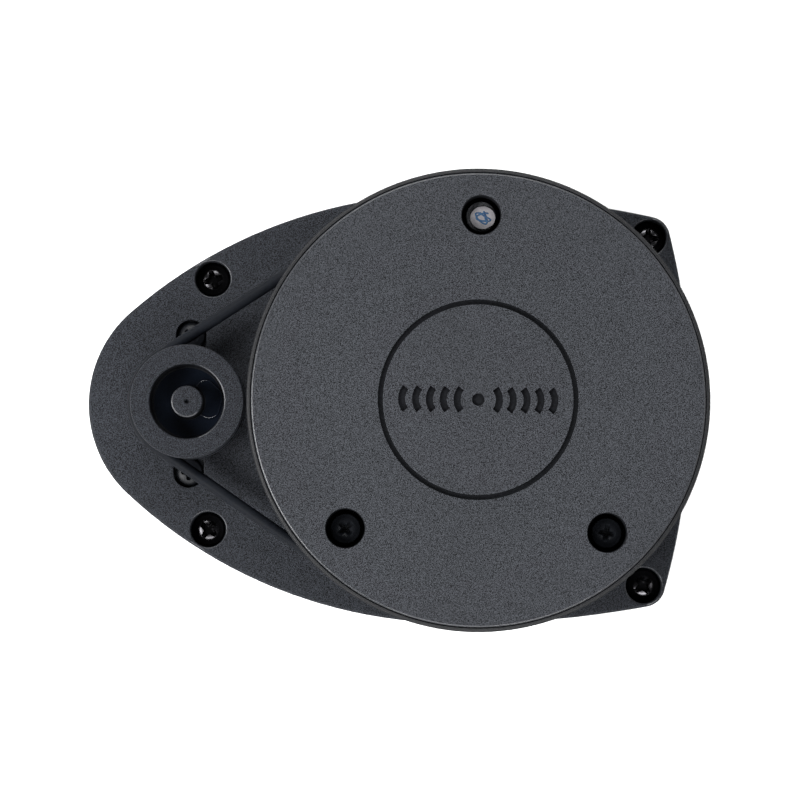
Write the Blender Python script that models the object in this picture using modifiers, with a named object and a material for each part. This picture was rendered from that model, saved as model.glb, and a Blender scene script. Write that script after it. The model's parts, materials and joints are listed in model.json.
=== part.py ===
"""Belt-driven 360 degree lidar scanner module, 96.8 x 70.3 x 55 mm.

A teardrop base plate stands on four legs. A DC motor hangs under its narrow end and turns a
small pulley, and a round rubber belt spins the scanner head on a thin ball bearing. The head
holds a laser and an image sensor. Power crosses to it through a pair of coils, and data
through an infrared beam down the hollow hub.

The origin is on the ground under the middle of the bounding box, +X runs from the motor to
the head and +Z is up. Sizes are in millimetres, and MM turns them into Blender's metres.
"Left" is the +Y side.
"""

import math

import bmesh
import bpy

MM = 0.001
GAP = 0.3                    # clearance between pieces that touch on the real module
OVERCUT = 1.0                # how far a cutter reaches past the face it cuts

# Overall size and the two axes of rotation
LENGTH = 96.8
HEAD_RADIUS = 35.15
HEIGHT = 55.0
SCAN_X = LENGTH / 2 - HEAD_RADIUS
AXIS_DISTANCE = 45.5
MOTOR_X = SCAN_X - AXIS_DISTANCE

# Base plate: outline arcs (measured from the scan axis) and levels
NOSE_RADIUS = 19.4
NOSE_X = -(LENGTH - HEAD_RADIUS - NOSE_RADIUS)
WAIST_X = -4.0
WAIST_HALF_WIDTH = 34.1
END_X = 33.9
CORNER_RADIUS = 3.4
PLATE_TOP = 22.0
SKIN_BOTTOM = 19.0
SKIRT_BOTTOM = 16.0
SKIRT_WALL = 1.6

# Legs, their screws and the wells that the screws sit in
LEG_POSITIONS = {
    "motor_left": (NOSE_X, 19.9),
    "motor_right": (NOSE_X, -19.9),
    "head_left": (26.9, 27.6),
    "head_right": (26.9, -27.6),
}
LEG_RADIUS = 3.2
LEG_TAP_RADIUS = 1.25
LEG_TAP_DEPTH = 6.0
LEG_SCREW_DEPTH = 8.5
LEG_SCREW_LENGTH = 10.0
COVER_SCREW_LENGTH = 12.0
LEG_BOSS_RADIUS = 4.4
PLATE_WELL_RADIUS = 2.8
PLATE_WELL_FLOOR = 18.6

# Screws (M2.5 for plate, cover and motor, M2 for the lower board)
M25_RADIUS = 1.25
M25_HEAD_RADIUS = 2.3
M25_HEAD_HEIGHT = 1.6
MOTOR_HEAD_RADIUS = 2.1
MOTOR_HEAD_HEIGHT = 1.3
M2_RADIUS = 1.0
M2_HEAD_RADIUS = 1.9
M2_HEAD_HEIGHT = 1.3
RECESS_WIDTH = 0.6
RECESS_DEPTH = 0.8

# Belt drive
BELT_Z = 27.0
BELT_RADIUS = 0.9
HEAD_PITCH_RADIUS = 34.0
PULLEY_PITCH_RADIUS = 8.7
GROOVE_RADIUS = BELT_RADIUS + GAP

# Hub and thin ball bearing, 17 x 26 x 5
HUB_BORE = 5.5
HUB_TOP = 30.6
BEARING_BORE = 8.5
BEARING_OUTER = 13.0
BEARING_BOTTOM = 24.0
BEARING_TOP = 29.0
BALL_PITCH = 10.75
BALL_RADIUS = 1.15
BALL_COUNT = 11
RING_DEPTH = 0.9
RING_GROOVE = 1.2
RACE_INNER_EDGE = 9.9
RACE_OUTER_EDGE = 11.6

# Turret (the lower half of the spinning head)
TURRET_BOTTOM = 23.3
TURRET_TOP = 31.0
TURRET_RADIUS = 35.0
TURRET_FLOOR = 24.8
SPIGOT_TOP = 33.0
SPIGOT_RADIUS = 33.2
TURRET_BOARD_RADIUS = 31.1
TURRET_BOARD_BOTTOM = 31.2
BOARD_THICKNESS = 1.6
PROCESSOR_AT = (0.0, -12.0)
PROCESSOR_SIDE = 10.0
COIL_INNER = 16.2
COIL_OUTER = 20.8
COIL_HEIGHT = 1.0
COIL_POCKET_FLOOR = 20.3
FERRITE_HEIGHT = 0.6
LINK_PROFILE = ((0, 0), (2.4, 0), (2.4, 1.2), (1.6, 1.2), (1.6, 2.6), (0.8, 3.2), (0, 3.4))
ENCODER_RADIUS = 24.5
ENCODER_THICKNESS = 1.0
ENCODER_HEIGHT = 2.9
ENCODER_SLOTS = 15
ENCODER_SLOT_WIDTH = 3.8
ENCODER_SLOT_DEPTH = 1.5
SENSOR_SIZE = (4.0, 5.0, 3.2)
SENSOR_CLEARANCE = 0.4

# Top cover and its three screws
COVER_BOTTOM = 31.3
COVER_WALL = 1.6
COVER_ROOF = 2.0
COVER_SCREW_CIRCLE = 28.0
COVER_SCREW_ANGLES = (90, 225, 315)
COVER_WELL_RADIUS = 2.95
COVER_WELL_FLOOR = 50.8
COVER_BOSS_RADIUS = 4.3
COVER_BOSS_BOTTOM = 47.0
POST_RADIUS = 3.0
SEAL_RADIUS = 1.9
SEAL_THICKNESS = 0.12
SEAL_SHIFT = 0.25            # off the screw's axis, along X and Y

# Optics, which look out along +Y
OPTICS_Z = 42.0
LASER_X = -14.0
RECEIVER_X = 13.5
LASER_WINDOW_RADIUS = 4.5
RECEIVER_WINDOW_RADIUS = 7.0
WINDOW_CUT_START = 22.0
FRAME_BACK = 6.0
FRAME_FRONT = 17.0
FRAME_HALF_HEIGHT = 7.5
LASER_BARREL_BORE = 2.5
LASER_BARREL_RADIUS = 3.6
LASER_BARREL_BACK = 9.2
LASER_BARREL_FRONT = 28.0
LASER_LENS_RADIUS = 2.2
LASER_LENS_BACK = 25.2
DIODE_BACK = 5.4
RECEIVER_BARREL_BORE = 4.0
RECEIVER_BARREL_RADIUS = 6.0
RECEIVER_BARREL_BACK = 6.4
RECEIVER_BARREL_FRONT = 26.4
RECEIVER_LENS_RADIUS = 4.8
RECEIVER_LENS_BACK = 21.9
SENSOR_BOARD_BACK = 2.2
IMAGE_SENSOR_HALF = (4.5, 3.5)

# Motor and pulley
MOTOR_RADIUS = 12.2
MOTOR_BOTTOM = 3.1
MOTOR_TOP = 15.4
MOTOR_WALL = 0.8
CAP_BOTTOM = 3.4
CAP_TOP = 4.6
HOLDER_BOTTOM = 9.0
MAGNET_INNER = 9.3
MAGNET_BOTTOM = 6.4
MAGNET_TOP = 14.0
ARMATURE_RADIUS = 8.6
ARMATURE_BOTTOM = 7.4
ARMATURE_TOP = 12.8
COMMUTATOR_RADIUS = 3.2
COMMUTATOR_BOTTOM = 5.2
BUSH_RADIUS = 3.0
BUSH_BOTTOM = 13.9
BUSH_TOP = 17.2
LEAD_RADIUS = 0.55
SHAFT_RADIUS = 1.0
SHAFT_BOTTOM = 4.9
SHAFT_HOLE_RADIUS = 2.2
MOTOR_SCREW_Y = 10.9
MOTOR_SLOT_WIDTH = 4.8
MOTOR_SLOT_FLOOR = 20.0
HOLDER_RADIUS = 14.0
PULLEY_TOP = 31.0
PULLEY_BOTTOM = 23.6
PULLEY_RECESS_FLOOR = 26.4
PULLEY_CAP_RADIUS = 8.95
PULLEY_RECESS_RADIUS = 5.85
PULLEY_HUB_RADIUS = 2.5

# Lower board, under the base plate
BOARD_MIN_X = -15.0
BOARD_MAX_X = 37.0
BOARD_HALF_WIDTH = 23.0
BOARD_TOP = SKIRT_BOTTOM - GAP
BOARD_BOTTOM = BOARD_TOP - BOARD_THICKNESS
BOARD_POST_RADIUS = 2.7
BOARD_SCREWS = {
    "motor_left": (-11.5, 19.5),
    "motor_right": (-11.5, -19.5),
    "head_left": (33.5, 19.5),
    "head_right": (33.5, -19.5),
}
SOCKET_MIN_X = 33.0
SOCKET_MAX_X = 42.0
SOCKET_HALF_WIDTH = 10.2
SOCKET_HEIGHT = 6.6
SOCKET_WALL = 1.0
SOCKET_BACK = 1.5
HEADER_MIN_X = -13.5
HEADER_MAX_X = -8.5
HEADER_HALF_WIDTH = 3.2
HEADER_HEIGHT = 5.0
DRIVER_CHIP_AT = (2.0, -9.0)
DRIVER_CHIP_SIDE = 7.0
CHIP_HEIGHT = 1.2
INDUCTOR_AT = (22.0, 13.0)
INDUCTOR_RADIUS = 3.4
INDUCTOR_HEIGHT = 4.0
CAPACITOR_AT = (-3.0, 12.0)
CAPACITOR_RADIUS = 3.0
CAPACITOR_HEIGHT = 7.0

# Facets around a turned piece
FINE = 36
MEDIUM = 24
COARSE = 12
OPTICS_STEPS = 20
HOLE_STEPS = 8

COLOURS = {
    # name: (sRGB colour, roughness, metallic)
    "black_plastic": ((0.27, 0.28, 0.30), 0.62, 0.0),
    "rubber": ((0.09, 0.09, 0.10), 0.70, 0.0),
    "black_steel": ((0.08, 0.08, 0.09), 0.35, 0.9),
    "bearing_steel": ((0.70, 0.71, 0.73), 0.22, 1.0),
    "zinc_steel": ((0.62, 0.63, 0.64), 0.32, 1.0),
    "nylon": ((0.88, 0.87, 0.83), 0.50, 0.0),
    "circuit_board": ((0.06, 0.24, 0.14), 0.45, 0.0),
    "copper": ((0.78, 0.42, 0.22), 0.35, 1.0),
    "ferrite": ((0.16, 0.16, 0.17), 0.60, 0.0),
    "chip": ((0.05, 0.05, 0.06), 0.45, 0.0),
    "glass": ((0.80, 0.86, 0.92), 0.06, 0.0),
    "dark_lens": ((0.12, 0.03, 0.04), 0.08, 0.0),
    "paper": ((0.90, 0.91, 0.94), 0.75, 0.0),
    "bronze": ((0.62, 0.46, 0.24), 0.45, 1.0),
    "red_lead": ((0.65, 0.06, 0.05), 0.55, 0.0),
    "black_lead": ((0.04, 0.04, 0.04), 0.55, 0.0),
}


# ------------------------------------------------------------------ scene helpers

def clear_scene():
    for obj in list(bpy.data.objects):
        bpy.data.objects.remove(obj, do_unlink=True)
    for collection in list(bpy.data.collections):
        bpy.data.collections.remove(collection)


def new_collection(name):
    collection = bpy.data.collections.new(name)
    bpy.context.scene.collection.children.link(collection)
    return collection


def linear(channel):
    if channel <= 0.04045:
        return channel / 12.92
    return ((channel + 0.055) / 1.055) ** 2.4


def finish_material(kind, name):
    """A material of its own for one piece, from the table of finishes."""
    colour, roughness, metallic = COLOURS[kind]
    material = bpy.data.materials.new(name)
    material.use_nodes = True
    shader = material.node_tree.nodes["Principled BSDF"]
    red, green, blue = (linear(channel) for channel in colour)
    shader.inputs["Base Color"].default_value = (red, green, blue, 1.0)
    shader.inputs["Roughness"].default_value = roughness
    shader.inputs["Metallic"].default_value = metallic
    return material


def place(obj, at, axis):
    obj.location = tuple(value * MM for value in at)
    obj.parent = axis


def add_part(name, mesh, kind, at=(0, 0, 0), axis=None):
    obj = bpy.data.objects.new(name, mesh)
    PARTS.objects.link(obj)
    place(obj, at, axis)
    obj.data.materials.append(finish_material(kind, name))
    return obj


def add_tool(name, mesh, at=(0, 0, 0), axis=None):
    """A solid that only cuts or joins another one."""
    obj = bpy.data.objects.new(name, mesh)
    TOOLS.objects.link(obj)
    place(obj, at, axis)
    obj.hide_render = True
    obj.display_type = "WIRE"
    return obj


def boolean(obj, tool, operation="DIFFERENCE"):
    modifier = obj.modifiers.new(tool.name, "BOOLEAN")
    modifier.operation = operation
    modifier.solver = "EXACT"
    modifier.object = tool


def soften(mesh):
    mesh.shade_smooth()
    mesh.set_sharp_from_angle(angle=math.radians(35))


def box_mesh(name, low, high):
    """A box between two corners."""
    mesh = bpy.data.meshes.new(name)
    work = bmesh.new()
    bmesh.ops.create_cube(work, size=1.0)
    for vertex in work.verts:
        for i in range(3):
            side = high[i] - low[i]
            vertex.co[i] = ((low[i] + high[i]) / 2 + vertex.co[i] * side) * MM
    work.to_mesh(mesh)
    work.free()
    return mesh


def cylinder_mesh(name, radius, bottom, top, sides=COARSE):
    """A cylinder around the Z axis."""
    mesh = bpy.data.meshes.new(name)
    work = bmesh.new()
    bmesh.ops.create_cone(work, cap_ends=True, segments=sides, radius1=radius * MM,
                          radius2=radius * MM, depth=(top - bottom) * MM)
    bmesh.ops.translate(work, verts=work.verts, vec=(0, 0, (top + bottom) / 2 * MM))
    work.to_mesh(mesh)
    work.free()
    soften(mesh)
    return mesh


def screw_profile(obj, profile, steps):
    """Turn a profile of (radius, z) points into a solid of revolution.

    The profile goes down the outer side. It is a closed loop, unless it starts and ends on
    the axis.
    """
    on_axis = profile[0][0] == 0
    count = len(profile)
    edges = [(i, i + 1) for i in range(count - 1)]
    if not on_axis:
        edges.append((count - 1, 0))
    obj.data.from_pydata([(r * MM, 0, z * MM) for r, z in profile], edges, [])
    screw = obj.modifiers.new("Turn", "SCREW")
    screw.axis = "Z"
    screw.steps = steps
    screw.render_steps = steps
    screw.use_merge_vertices = on_axis
    screw.merge_threshold = 0.000001
    screw.use_smooth_shade = False


def turned(name, profile, kind, steps=MEDIUM, at=(0, 0, 0), axis=None):
    obj = add_part(name, bpy.data.meshes.new(name), kind, at, axis)
    screw_profile(obj, profile, steps)
    return obj


def turned_tool(name, profile, steps=MEDIUM, at=(0, 0, 0), axis=None):
    obj = add_tool(name, bpy.data.meshes.new(name), at, axis)
    screw_profile(obj, profile, steps)
    return obj


def ring_profile(inner, outer, bottom, top):
    return [(outer, top), (outer, bottom), (inner, bottom), (inner, top)]


def face_along_y(obj):
    """Turn a piece made around Z so that it points along +Y."""
    obj.rotation_euler = (-math.pi / 2, 0, 0)


def box_part(name, low, high, kind, axis=None):
    return add_part(name, box_mesh(name, low, high), kind, axis=axis)


def flat_prism(name, outline, bottom, top):
    """The mesh of a filled outline, extruded from bottom to top."""
    curve = bpy.data.curves.new(name, "CURVE")
    curve.dimensions = "2D"
    curve.fill_mode = "BOTH"
    curve.extrude = (top - bottom) / 2 * MM
    spline = curve.splines.new("POLY")
    spline.points.add(len(outline) - 1)
    for point, (x, y) in zip(spline.points, outline):
        point.co = (x * MM, y * MM, 0, 1)
    spline.use_cyclic_u = True
    mesh = mesh_of_curve(name, curve)
    for vertex in mesh.vertices:
        vertex.co.z += (top + bottom) / 2 * MM
    return mesh


def mesh_of_curve(name, curve):
    """The closed mesh of a curve, with its caps welded on."""
    holder = bpy.data.objects.new(name + "_curve", curve)
    TOOLS.objects.link(holder)
    graph = bpy.context.evaluated_depsgraph_get()
    mesh = bpy.data.meshes.new_from_object(holder.evaluated_get(graph))
    bpy.data.objects.remove(holder)
    work = bmesh.new()
    work.from_mesh(mesh)
    bmesh.ops.remove_doubles(work, verts=work.verts, dist=0.000001)
    bmesh.ops.recalc_face_normals(work, faces=work.faces)
    work.to_mesh(mesh)
    work.free()
    mesh.name = name
    return mesh


def arc(centre, radius, start, end, count):
    """Points on an arc, with its angles in degrees."""
    points = []
    for i in range(count):
        angle = math.radians(start + (end - start) * i / (count - 1))
        points.append((centre[0] + radius * math.cos(angle),
                       centre[1] + radius * math.sin(angle)))
    return points


def drop_repeats(points):
    """The points of a closed outline, without any that repeat the one before."""
    kept = []
    for i, point in enumerate(points):
        before = points[i - 1]
        if math.dist(point, before) > 0.01:
            kept.append(point)
    return kept


def tube(name, path, radius, kind, closed=False, axis=None):
    curve = bpy.data.curves.new(name, "CURVE")
    curve.dimensions = "3D"
    curve.bevel_depth = radius * MM
    curve.bevel_resolution = 2
    curve.use_fill_caps = not closed
    spline = curve.splines.new("POLY")
    spline.points.add(len(path) - 1)
    for point, (x, y, z) in zip(spline.points, path):
        point.co = (x * MM, y * MM, z * MM, 1)
    spline.use_cyclic_u = closed
    obj = bpy.data.objects.new(name, curve)
    PARTS.objects.link(obj)
    obj.parent = axis
    curve.materials.append(finish_material(kind, name))
    return obj


# ------------------------------------------------------------------ fasteners

def screw_mesh(name, shank_radius, head_radius, head_height, length):
    """A pan head screw with a cross recess, its head resting on z = 0 and its shank below."""
    profile = [
        (0, head_height),
        (head_radius - 0.2, head_height),
        (head_radius, 0),
        (shank_radius, 0),
        (shank_radius, -length),
        (0, -length),
    ]
    blank = turned_tool(name + "_blank", profile, steps=10)
    reach = head_radius * 0.62
    half = RECESS_WIDTH / 2
    floor = head_height - RECESS_DEPTH
    for tag, x, y in (("a", reach, half), ("b", half, reach)):
        mesh = box_mesh(name + tag, (-x, -y, floor), (x, y, head_height + 1))
        boolean(blank, add_tool(name + "_recess_" + tag, mesh))
    graph = bpy.context.evaluated_depsgraph_get()
    graph.update()
    mesh = bpy.data.meshes.new_from_object(blank.evaluated_get(graph))
    mesh.name = name
    mesh.materials.clear()
    return mesh


def add_screw(name, mesh, kind, at, axis=None):
    obj = bpy.data.objects.new(name, mesh)
    PARTS.objects.link(obj)
    place(obj, at, axis)
    if not mesh.materials:
        mesh.materials.append(finish_material(kind, mesh.name))
    return obj


# ------------------------------------------------------------------ base plate

def plate_outline(inset=0.0):
    """The teardrop outline as tangent arcs, moved inwards by inset.

    The nose is a round end, the sides bulge from it to the waist and run on to tight corners
    around the two head-end legs, and a shallow arc closes the end.
    """
    corner_x, corner_y = LEG_POSITIONS["head_left"]
    # Each radius is the one that makes its arc tangent to the round end it runs into.
    run = WAIST_X - NOSE_X
    front = ((run ** 2 + WAIST_HALF_WIDTH ** 2 - NOSE_RADIUS ** 2)
             / (2 * (WAIST_HALF_WIDTH - NOSE_RADIUS)))
    run = corner_x - WAIST_X
    drop = WAIST_HALF_WIDTH - corner_y
    rear = (run ** 2 + drop ** 2 - CORNER_RADIUS ** 2) / (2 * (drop - CORNER_RADIUS))
    depth = END_X - corner_x
    end = (depth ** 2 + corner_y ** 2 - CORNER_RADIUS ** 2) / (2 * (depth - CORNER_RADIUS))

    front_centre = (WAIST_X, WAIST_HALF_WIDTH - front)
    rear_centre = (WAIST_X, WAIST_HALF_WIDTH - rear)
    end_centre = (END_X - end, 0.0)

    def heading(a, b):
        return math.degrees(math.atan2(b[1] - a[1], b[0] - a[0]))

    nose_join = heading(front_centre, (NOSE_X, 0))
    corner_in = heading(rear_centre, (corner_x, corner_y))
    corner_out = heading(end_centre, (corner_x, corner_y))
    half = []
    half += arc((NOSE_X, 0), NOSE_RADIUS - inset, 180, nose_join, 9)
    half += arc(front_centre, front - inset, nose_join, 90, 6)
    half += arc(rear_centre, rear - inset, 90, corner_in, 4)
    half += arc((corner_x, corner_y), CORNER_RADIUS - inset, corner_in, corner_out, 5)
    half += arc(end_centre, end - inset, corner_out, 0, 4)
    mirrored = [(x, -y) for x, y in reversed(half[1:-1])]
    return [(x + SCAN_X, y) for x, y in drop_repeats(half + mirrored)]


def base_plate(scan_axis, motor_axis):
    mesh = flat_prism("base_plate", plate_outline(), SKIRT_BOTTOM, PLATE_TOP)
    plate = add_part("base_plate", mesh, "black_plastic")

    # The hollow under the skin leaves the skirt, the leg bosses and the board's posts.
    below = SKIRT_BOTTOM - 1
    mesh = flat_prism("hollow", plate_outline(SKIRT_WALL), below, SKIN_BOTTOM)
    hollow = add_tool("plate_hollow", mesh)
    for name, (x, y) in LEG_POSITIONS.items():
        boss = cylinder_mesh("boss", LEG_BOSS_RADIUS, below - 1, SKIN_BOTTOM + 1)
        boolean(hollow, add_tool("leg_boss_" + name, boss, (x, y, 0), scan_axis))
    for name, (x, y) in BOARD_SCREWS.items():
        post = cylinder_mesh("post", BOARD_POST_RADIUS, below - 1, SKIN_BOTTOM + 1)
        boolean(hollow, add_tool("board_post_" + name, post, (x, y, 0)))
    boolean(plate, hollow)

    # The hub that carries the bearing: a shoulder under the race, a groove for its ring.
    hub_foot = PLATE_TOP - 1
    bore = cylinder_mesh("bore", HUB_BORE + 0.7, SKIRT_BOTTOM, PLATE_TOP + 1, MEDIUM)
    boolean(plate, add_tool("hub_bore", bore, axis=scan_axis))
    shoulder = RACE_INNER_EDGE - GAP
    seat = BEARING_BORE - GAP
    groove = seat - RING_DEPTH
    hub = turned_tool("hub", [
        (seat, HUB_TOP),
        (seat, BEARING_TOP + RING_GROOVE),
        (groove, BEARING_TOP + RING_GROOVE),
        (groove, BEARING_TOP),
        (seat, BEARING_TOP),
        (seat, BEARING_BOTTOM - GAP),
        (shoulder, BEARING_BOTTOM - GAP),
        (shoulder, hub_foot),
        (HUB_BORE, hub_foot),
        (HUB_BORE, HUB_TOP),
    ], axis=scan_axis)
    boolean(plate, hub, "UNION")
    pocket = ring_profile(COIL_INNER - GAP, COIL_OUTER + GAP, COIL_POCKET_FLOOR, PLATE_TOP + 2)
    boolean(plate, turned_tool("coil_pocket", pocket, axis=scan_axis))

    for name, (x, y) in LEG_POSITIONS.items():
        well = cylinder_mesh("well", PLATE_WELL_RADIUS, PLATE_WELL_FLOOR, PLATE_TOP + 1)
        boolean(plate, add_tool("leg_well_" + name, well, (x, y, 0), scan_axis))
        hole = cylinder_mesh("hole", M25_RADIUS + GAP, SKIRT_BOTTOM - 1, PLATE_TOP - 1, HOLE_STEPS)
        boolean(plate, add_tool("leg_hole_" + name, hole, (x, y, 0), scan_axis))
    for name, (x, y) in BOARD_SCREWS.items():
        hole = cylinder_mesh("hole", M2_RADIUS + GAP, SKIRT_BOTTOM - 1, SKIN_BOTTOM + 1)
        boolean(plate, add_tool("post_hole_" + name, hole, (x, y, 0)))

    # One slot under the pulley holds both motor screws and lets the shaft through.
    half = MOTOR_SLOT_WIDTH / 2
    outline = arc((0, MOTOR_SCREW_Y), half, 0, 180, 9) + arc((0, -MOTOR_SCREW_Y), half, 180, 360, 9)
    mesh = flat_prism("slot", outline, MOTOR_SLOT_FLOOR, PLATE_TOP + 1)
    boolean(plate, add_tool("motor_slot", mesh, axis=motor_axis))
    for tag, side in (("left", 1), ("right", -1)):
        mesh = cylinder_mesh("hole", M25_RADIUS + GAP, SKIRT_BOTTOM, PLATE_TOP - 1, HOLE_STEPS)
        at = (0, side * MOTOR_SCREW_Y, 0)
        boolean(plate, add_tool("motor_hole_" + tag, mesh, at, motor_axis))
    mesh = cylinder_mesh("shaft_hole", SHAFT_HOLE_RADIUS, SKIRT_BOTTOM, PLATE_TOP - 1, HOLE_STEPS)
    boolean(plate, add_tool("shaft_hole", mesh, axis=motor_axis))


def legs(scan_axis):
    """Four round legs: a screw hole from above, a tapped M2.5 hole from below."""
    top = SKIRT_BOTTOM - GAP
    hole = M25_RADIUS + GAP
    hole_floor = top - LEG_SCREW_DEPTH
    profile = [
        (0, hole_floor),
        (hole, hole_floor),
        (hole, top),
        (LEG_RADIUS, top),
        (LEG_RADIUS, 0.3),
        (LEG_RADIUS - 0.3, 0),
        (LEG_TAP_RADIUS, 0),
        (LEG_TAP_RADIUS, LEG_TAP_DEPTH),
        (0, LEG_TAP_DEPTH),
    ]
    screw = screw_mesh("plate_screw", M25_RADIUS, M25_HEAD_RADIUS, M25_HEAD_HEIGHT,
                       LEG_SCREW_LENGTH)
    for name, (x, y) in LEG_POSITIONS.items():
        turned("leg_" + name, profile, "black_plastic", COARSE, (x, y, 0), scan_axis)
        at = (x, y, PLATE_WELL_FLOOR + GAP)
        add_screw("plate_screw_" + name, screw, "black_steel", at, scan_axis)


# ------------------------------------------------------------------ bearing and power link

def bearing(scan_axis):
    """A thin ball bearing: its inner race stands still and its outer race turns."""
    middle = (BEARING_BOTTOM + BEARING_TOP) / 2
    track = BALL_RADIUS + GAP
    span = math.degrees(math.asin((BALL_PITCH - RACE_INNER_EDGE) / track))
    start = 180 - (90 - span)
    inner_track = arc((BALL_PITCH, middle), track, start, 360 - start, 4)
    turned("bearing_inner_race",
           [(RACE_INNER_EDGE, BEARING_TOP)] + inner_track
           + [(RACE_INNER_EDGE, BEARING_BOTTOM), (BEARING_BORE, BEARING_BOTTOM),
              (BEARING_BORE, BEARING_TOP)],
           "bearing_steel", axis=scan_axis)
    span = math.degrees(math.asin((RACE_OUTER_EDGE - BALL_PITCH) / track))
    outer_track = arc((BALL_PITCH, middle), track, -(90 - span), 90 - span, 4)
    turned("bearing_outer_race",
           [(BEARING_OUTER, BEARING_TOP), (BEARING_OUTER, BEARING_BOTTOM),
            (RACE_OUTER_EDGE, BEARING_BOTTOM)] + outer_track
           + [(RACE_OUTER_EDGE, BEARING_TOP)],
           "bearing_steel", axis=scan_axis)

    cage = turned("bearing_ball_cage",
                  ring_profile(BALL_PITCH - 0.35, BALL_PITCH + 0.35, middle - 0.9, middle + 0.9),
                  "bearing_steel", steps=2 * BALL_COUNT, axis=scan_axis)
    for i in range(BALL_COUNT):
        angle = math.tau * i / BALL_COUNT
        mesh = bpy.data.meshes.new("ball")
        work = bmesh.new()
        bmesh.ops.create_uvsphere(work, u_segments=8, v_segments=4, radius=BALL_RADIUS * MM)
        work.to_mesh(mesh)
        work.free()
        at = (BALL_PITCH * math.cos(angle), BALL_PITCH * math.sin(angle), middle)
        boolean(cage, add_tool(f"ball_{i + 1}", mesh, at, scan_axis), "UNION")

    ring = turned("bearing_retaining_ring",
                  ring_profile(BEARING_BORE - RING_DEPTH, BEARING_BORE + 1.0,
                               BEARING_TOP + GAP, BEARING_TOP + RING_GROOVE - GAP),
                  "zinc_steel", axis=scan_axis)
    mouth = box_mesh("mouth", (0, -1.5, BEARING_TOP), (BEARING_BORE + 3, 1.5, BEARING_TOP + 2))
    boolean(ring, add_tool("ring_mouth", mesh=mouth, axis=scan_axis))


def power_and_data_link(scan_axis):
    """The coil pair that feeds the head, and the infrared pair that looks through the hub."""
    plate_coil = COIL_POCKET_FLOOR + FERRITE_HEIGHT + 2 * GAP
    head_coil = TURRET_FLOOR + GAP
    head_ferrite = head_coil + COIL_HEIGHT + GAP
    rings = {
        "primary_ferrite": (COIL_POCKET_FLOOR + GAP, FERRITE_HEIGHT, "ferrite"),
        "primary_coil": (plate_coil, COIL_HEIGHT, "copper"),
        "secondary_coil": (head_coil, COIL_HEIGHT, "copper"),
        "secondary_ferrite": (head_ferrite, FERRITE_HEIGHT, "ferrite"),
    }
    for name, (bottom, height, kind) in rings.items():
        profile = ring_profile(COIL_INNER, COIL_OUTER, bottom, bottom + height)
        turned(name, profile, kind, axis=scan_axis)
    # Both ends of the data link are the same flanged, domed package, face to face.
    for name, base, way in (("link_emitter", TURRET_BOARD_BOTTOM - GAP, -1),
                            ("link_receiver", BOARD_TOP + GAP, 1)):
        profile = [(radius, base + way * rise) for radius, rise in LINK_PROFILE]
        if way > 0:
            profile.reverse()
        turned(name, profile, "dark_lens", COARSE, axis=scan_axis)


def encoder(scan_axis):
    """A slotted ring on the plate and the sensor on the turret that counts its slots."""
    top = PLATE_TOP + ENCODER_HEIGHT
    half = ENCODER_THICKNESS / 2
    ring = turned("encoder_ring",
                  ring_profile(ENCODER_RADIUS - half, ENCODER_RADIUS + half,
                               PLATE_TOP + GAP, top),
                  "black_plastic", steps=2 * ENCODER_SLOTS, axis=scan_axis)
    half = ENCODER_SLOT_WIDTH / 2
    for i in range(ENCODER_SLOTS):
        mesh = box_mesh("slot",
                        (ENCODER_RADIUS - OVERCUT, -half, top - ENCODER_SLOT_DEPTH),
                        (ENCODER_RADIUS + OVERCUT, half, top + OVERCUT))
        slot = add_tool(f"encoder_slot_{i + 1}", mesh, axis=scan_axis)
        slot.rotation_euler = (0, 0, math.tau * (i + 0.5) / ENCODER_SLOTS)
        boolean(ring, slot)
    wide, deep, tall = SENSOR_SIZE
    bottom = top + SENSOR_CLEARANCE
    box_part("encoder_sensor", (-wide / 2, -ENCODER_RADIUS - deep / 2, bottom),
             (wide / 2, -ENCODER_RADIUS + deep / 2, bottom + tall), "chip", scan_axis)


# ------------------------------------------------------------------ lower board

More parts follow.
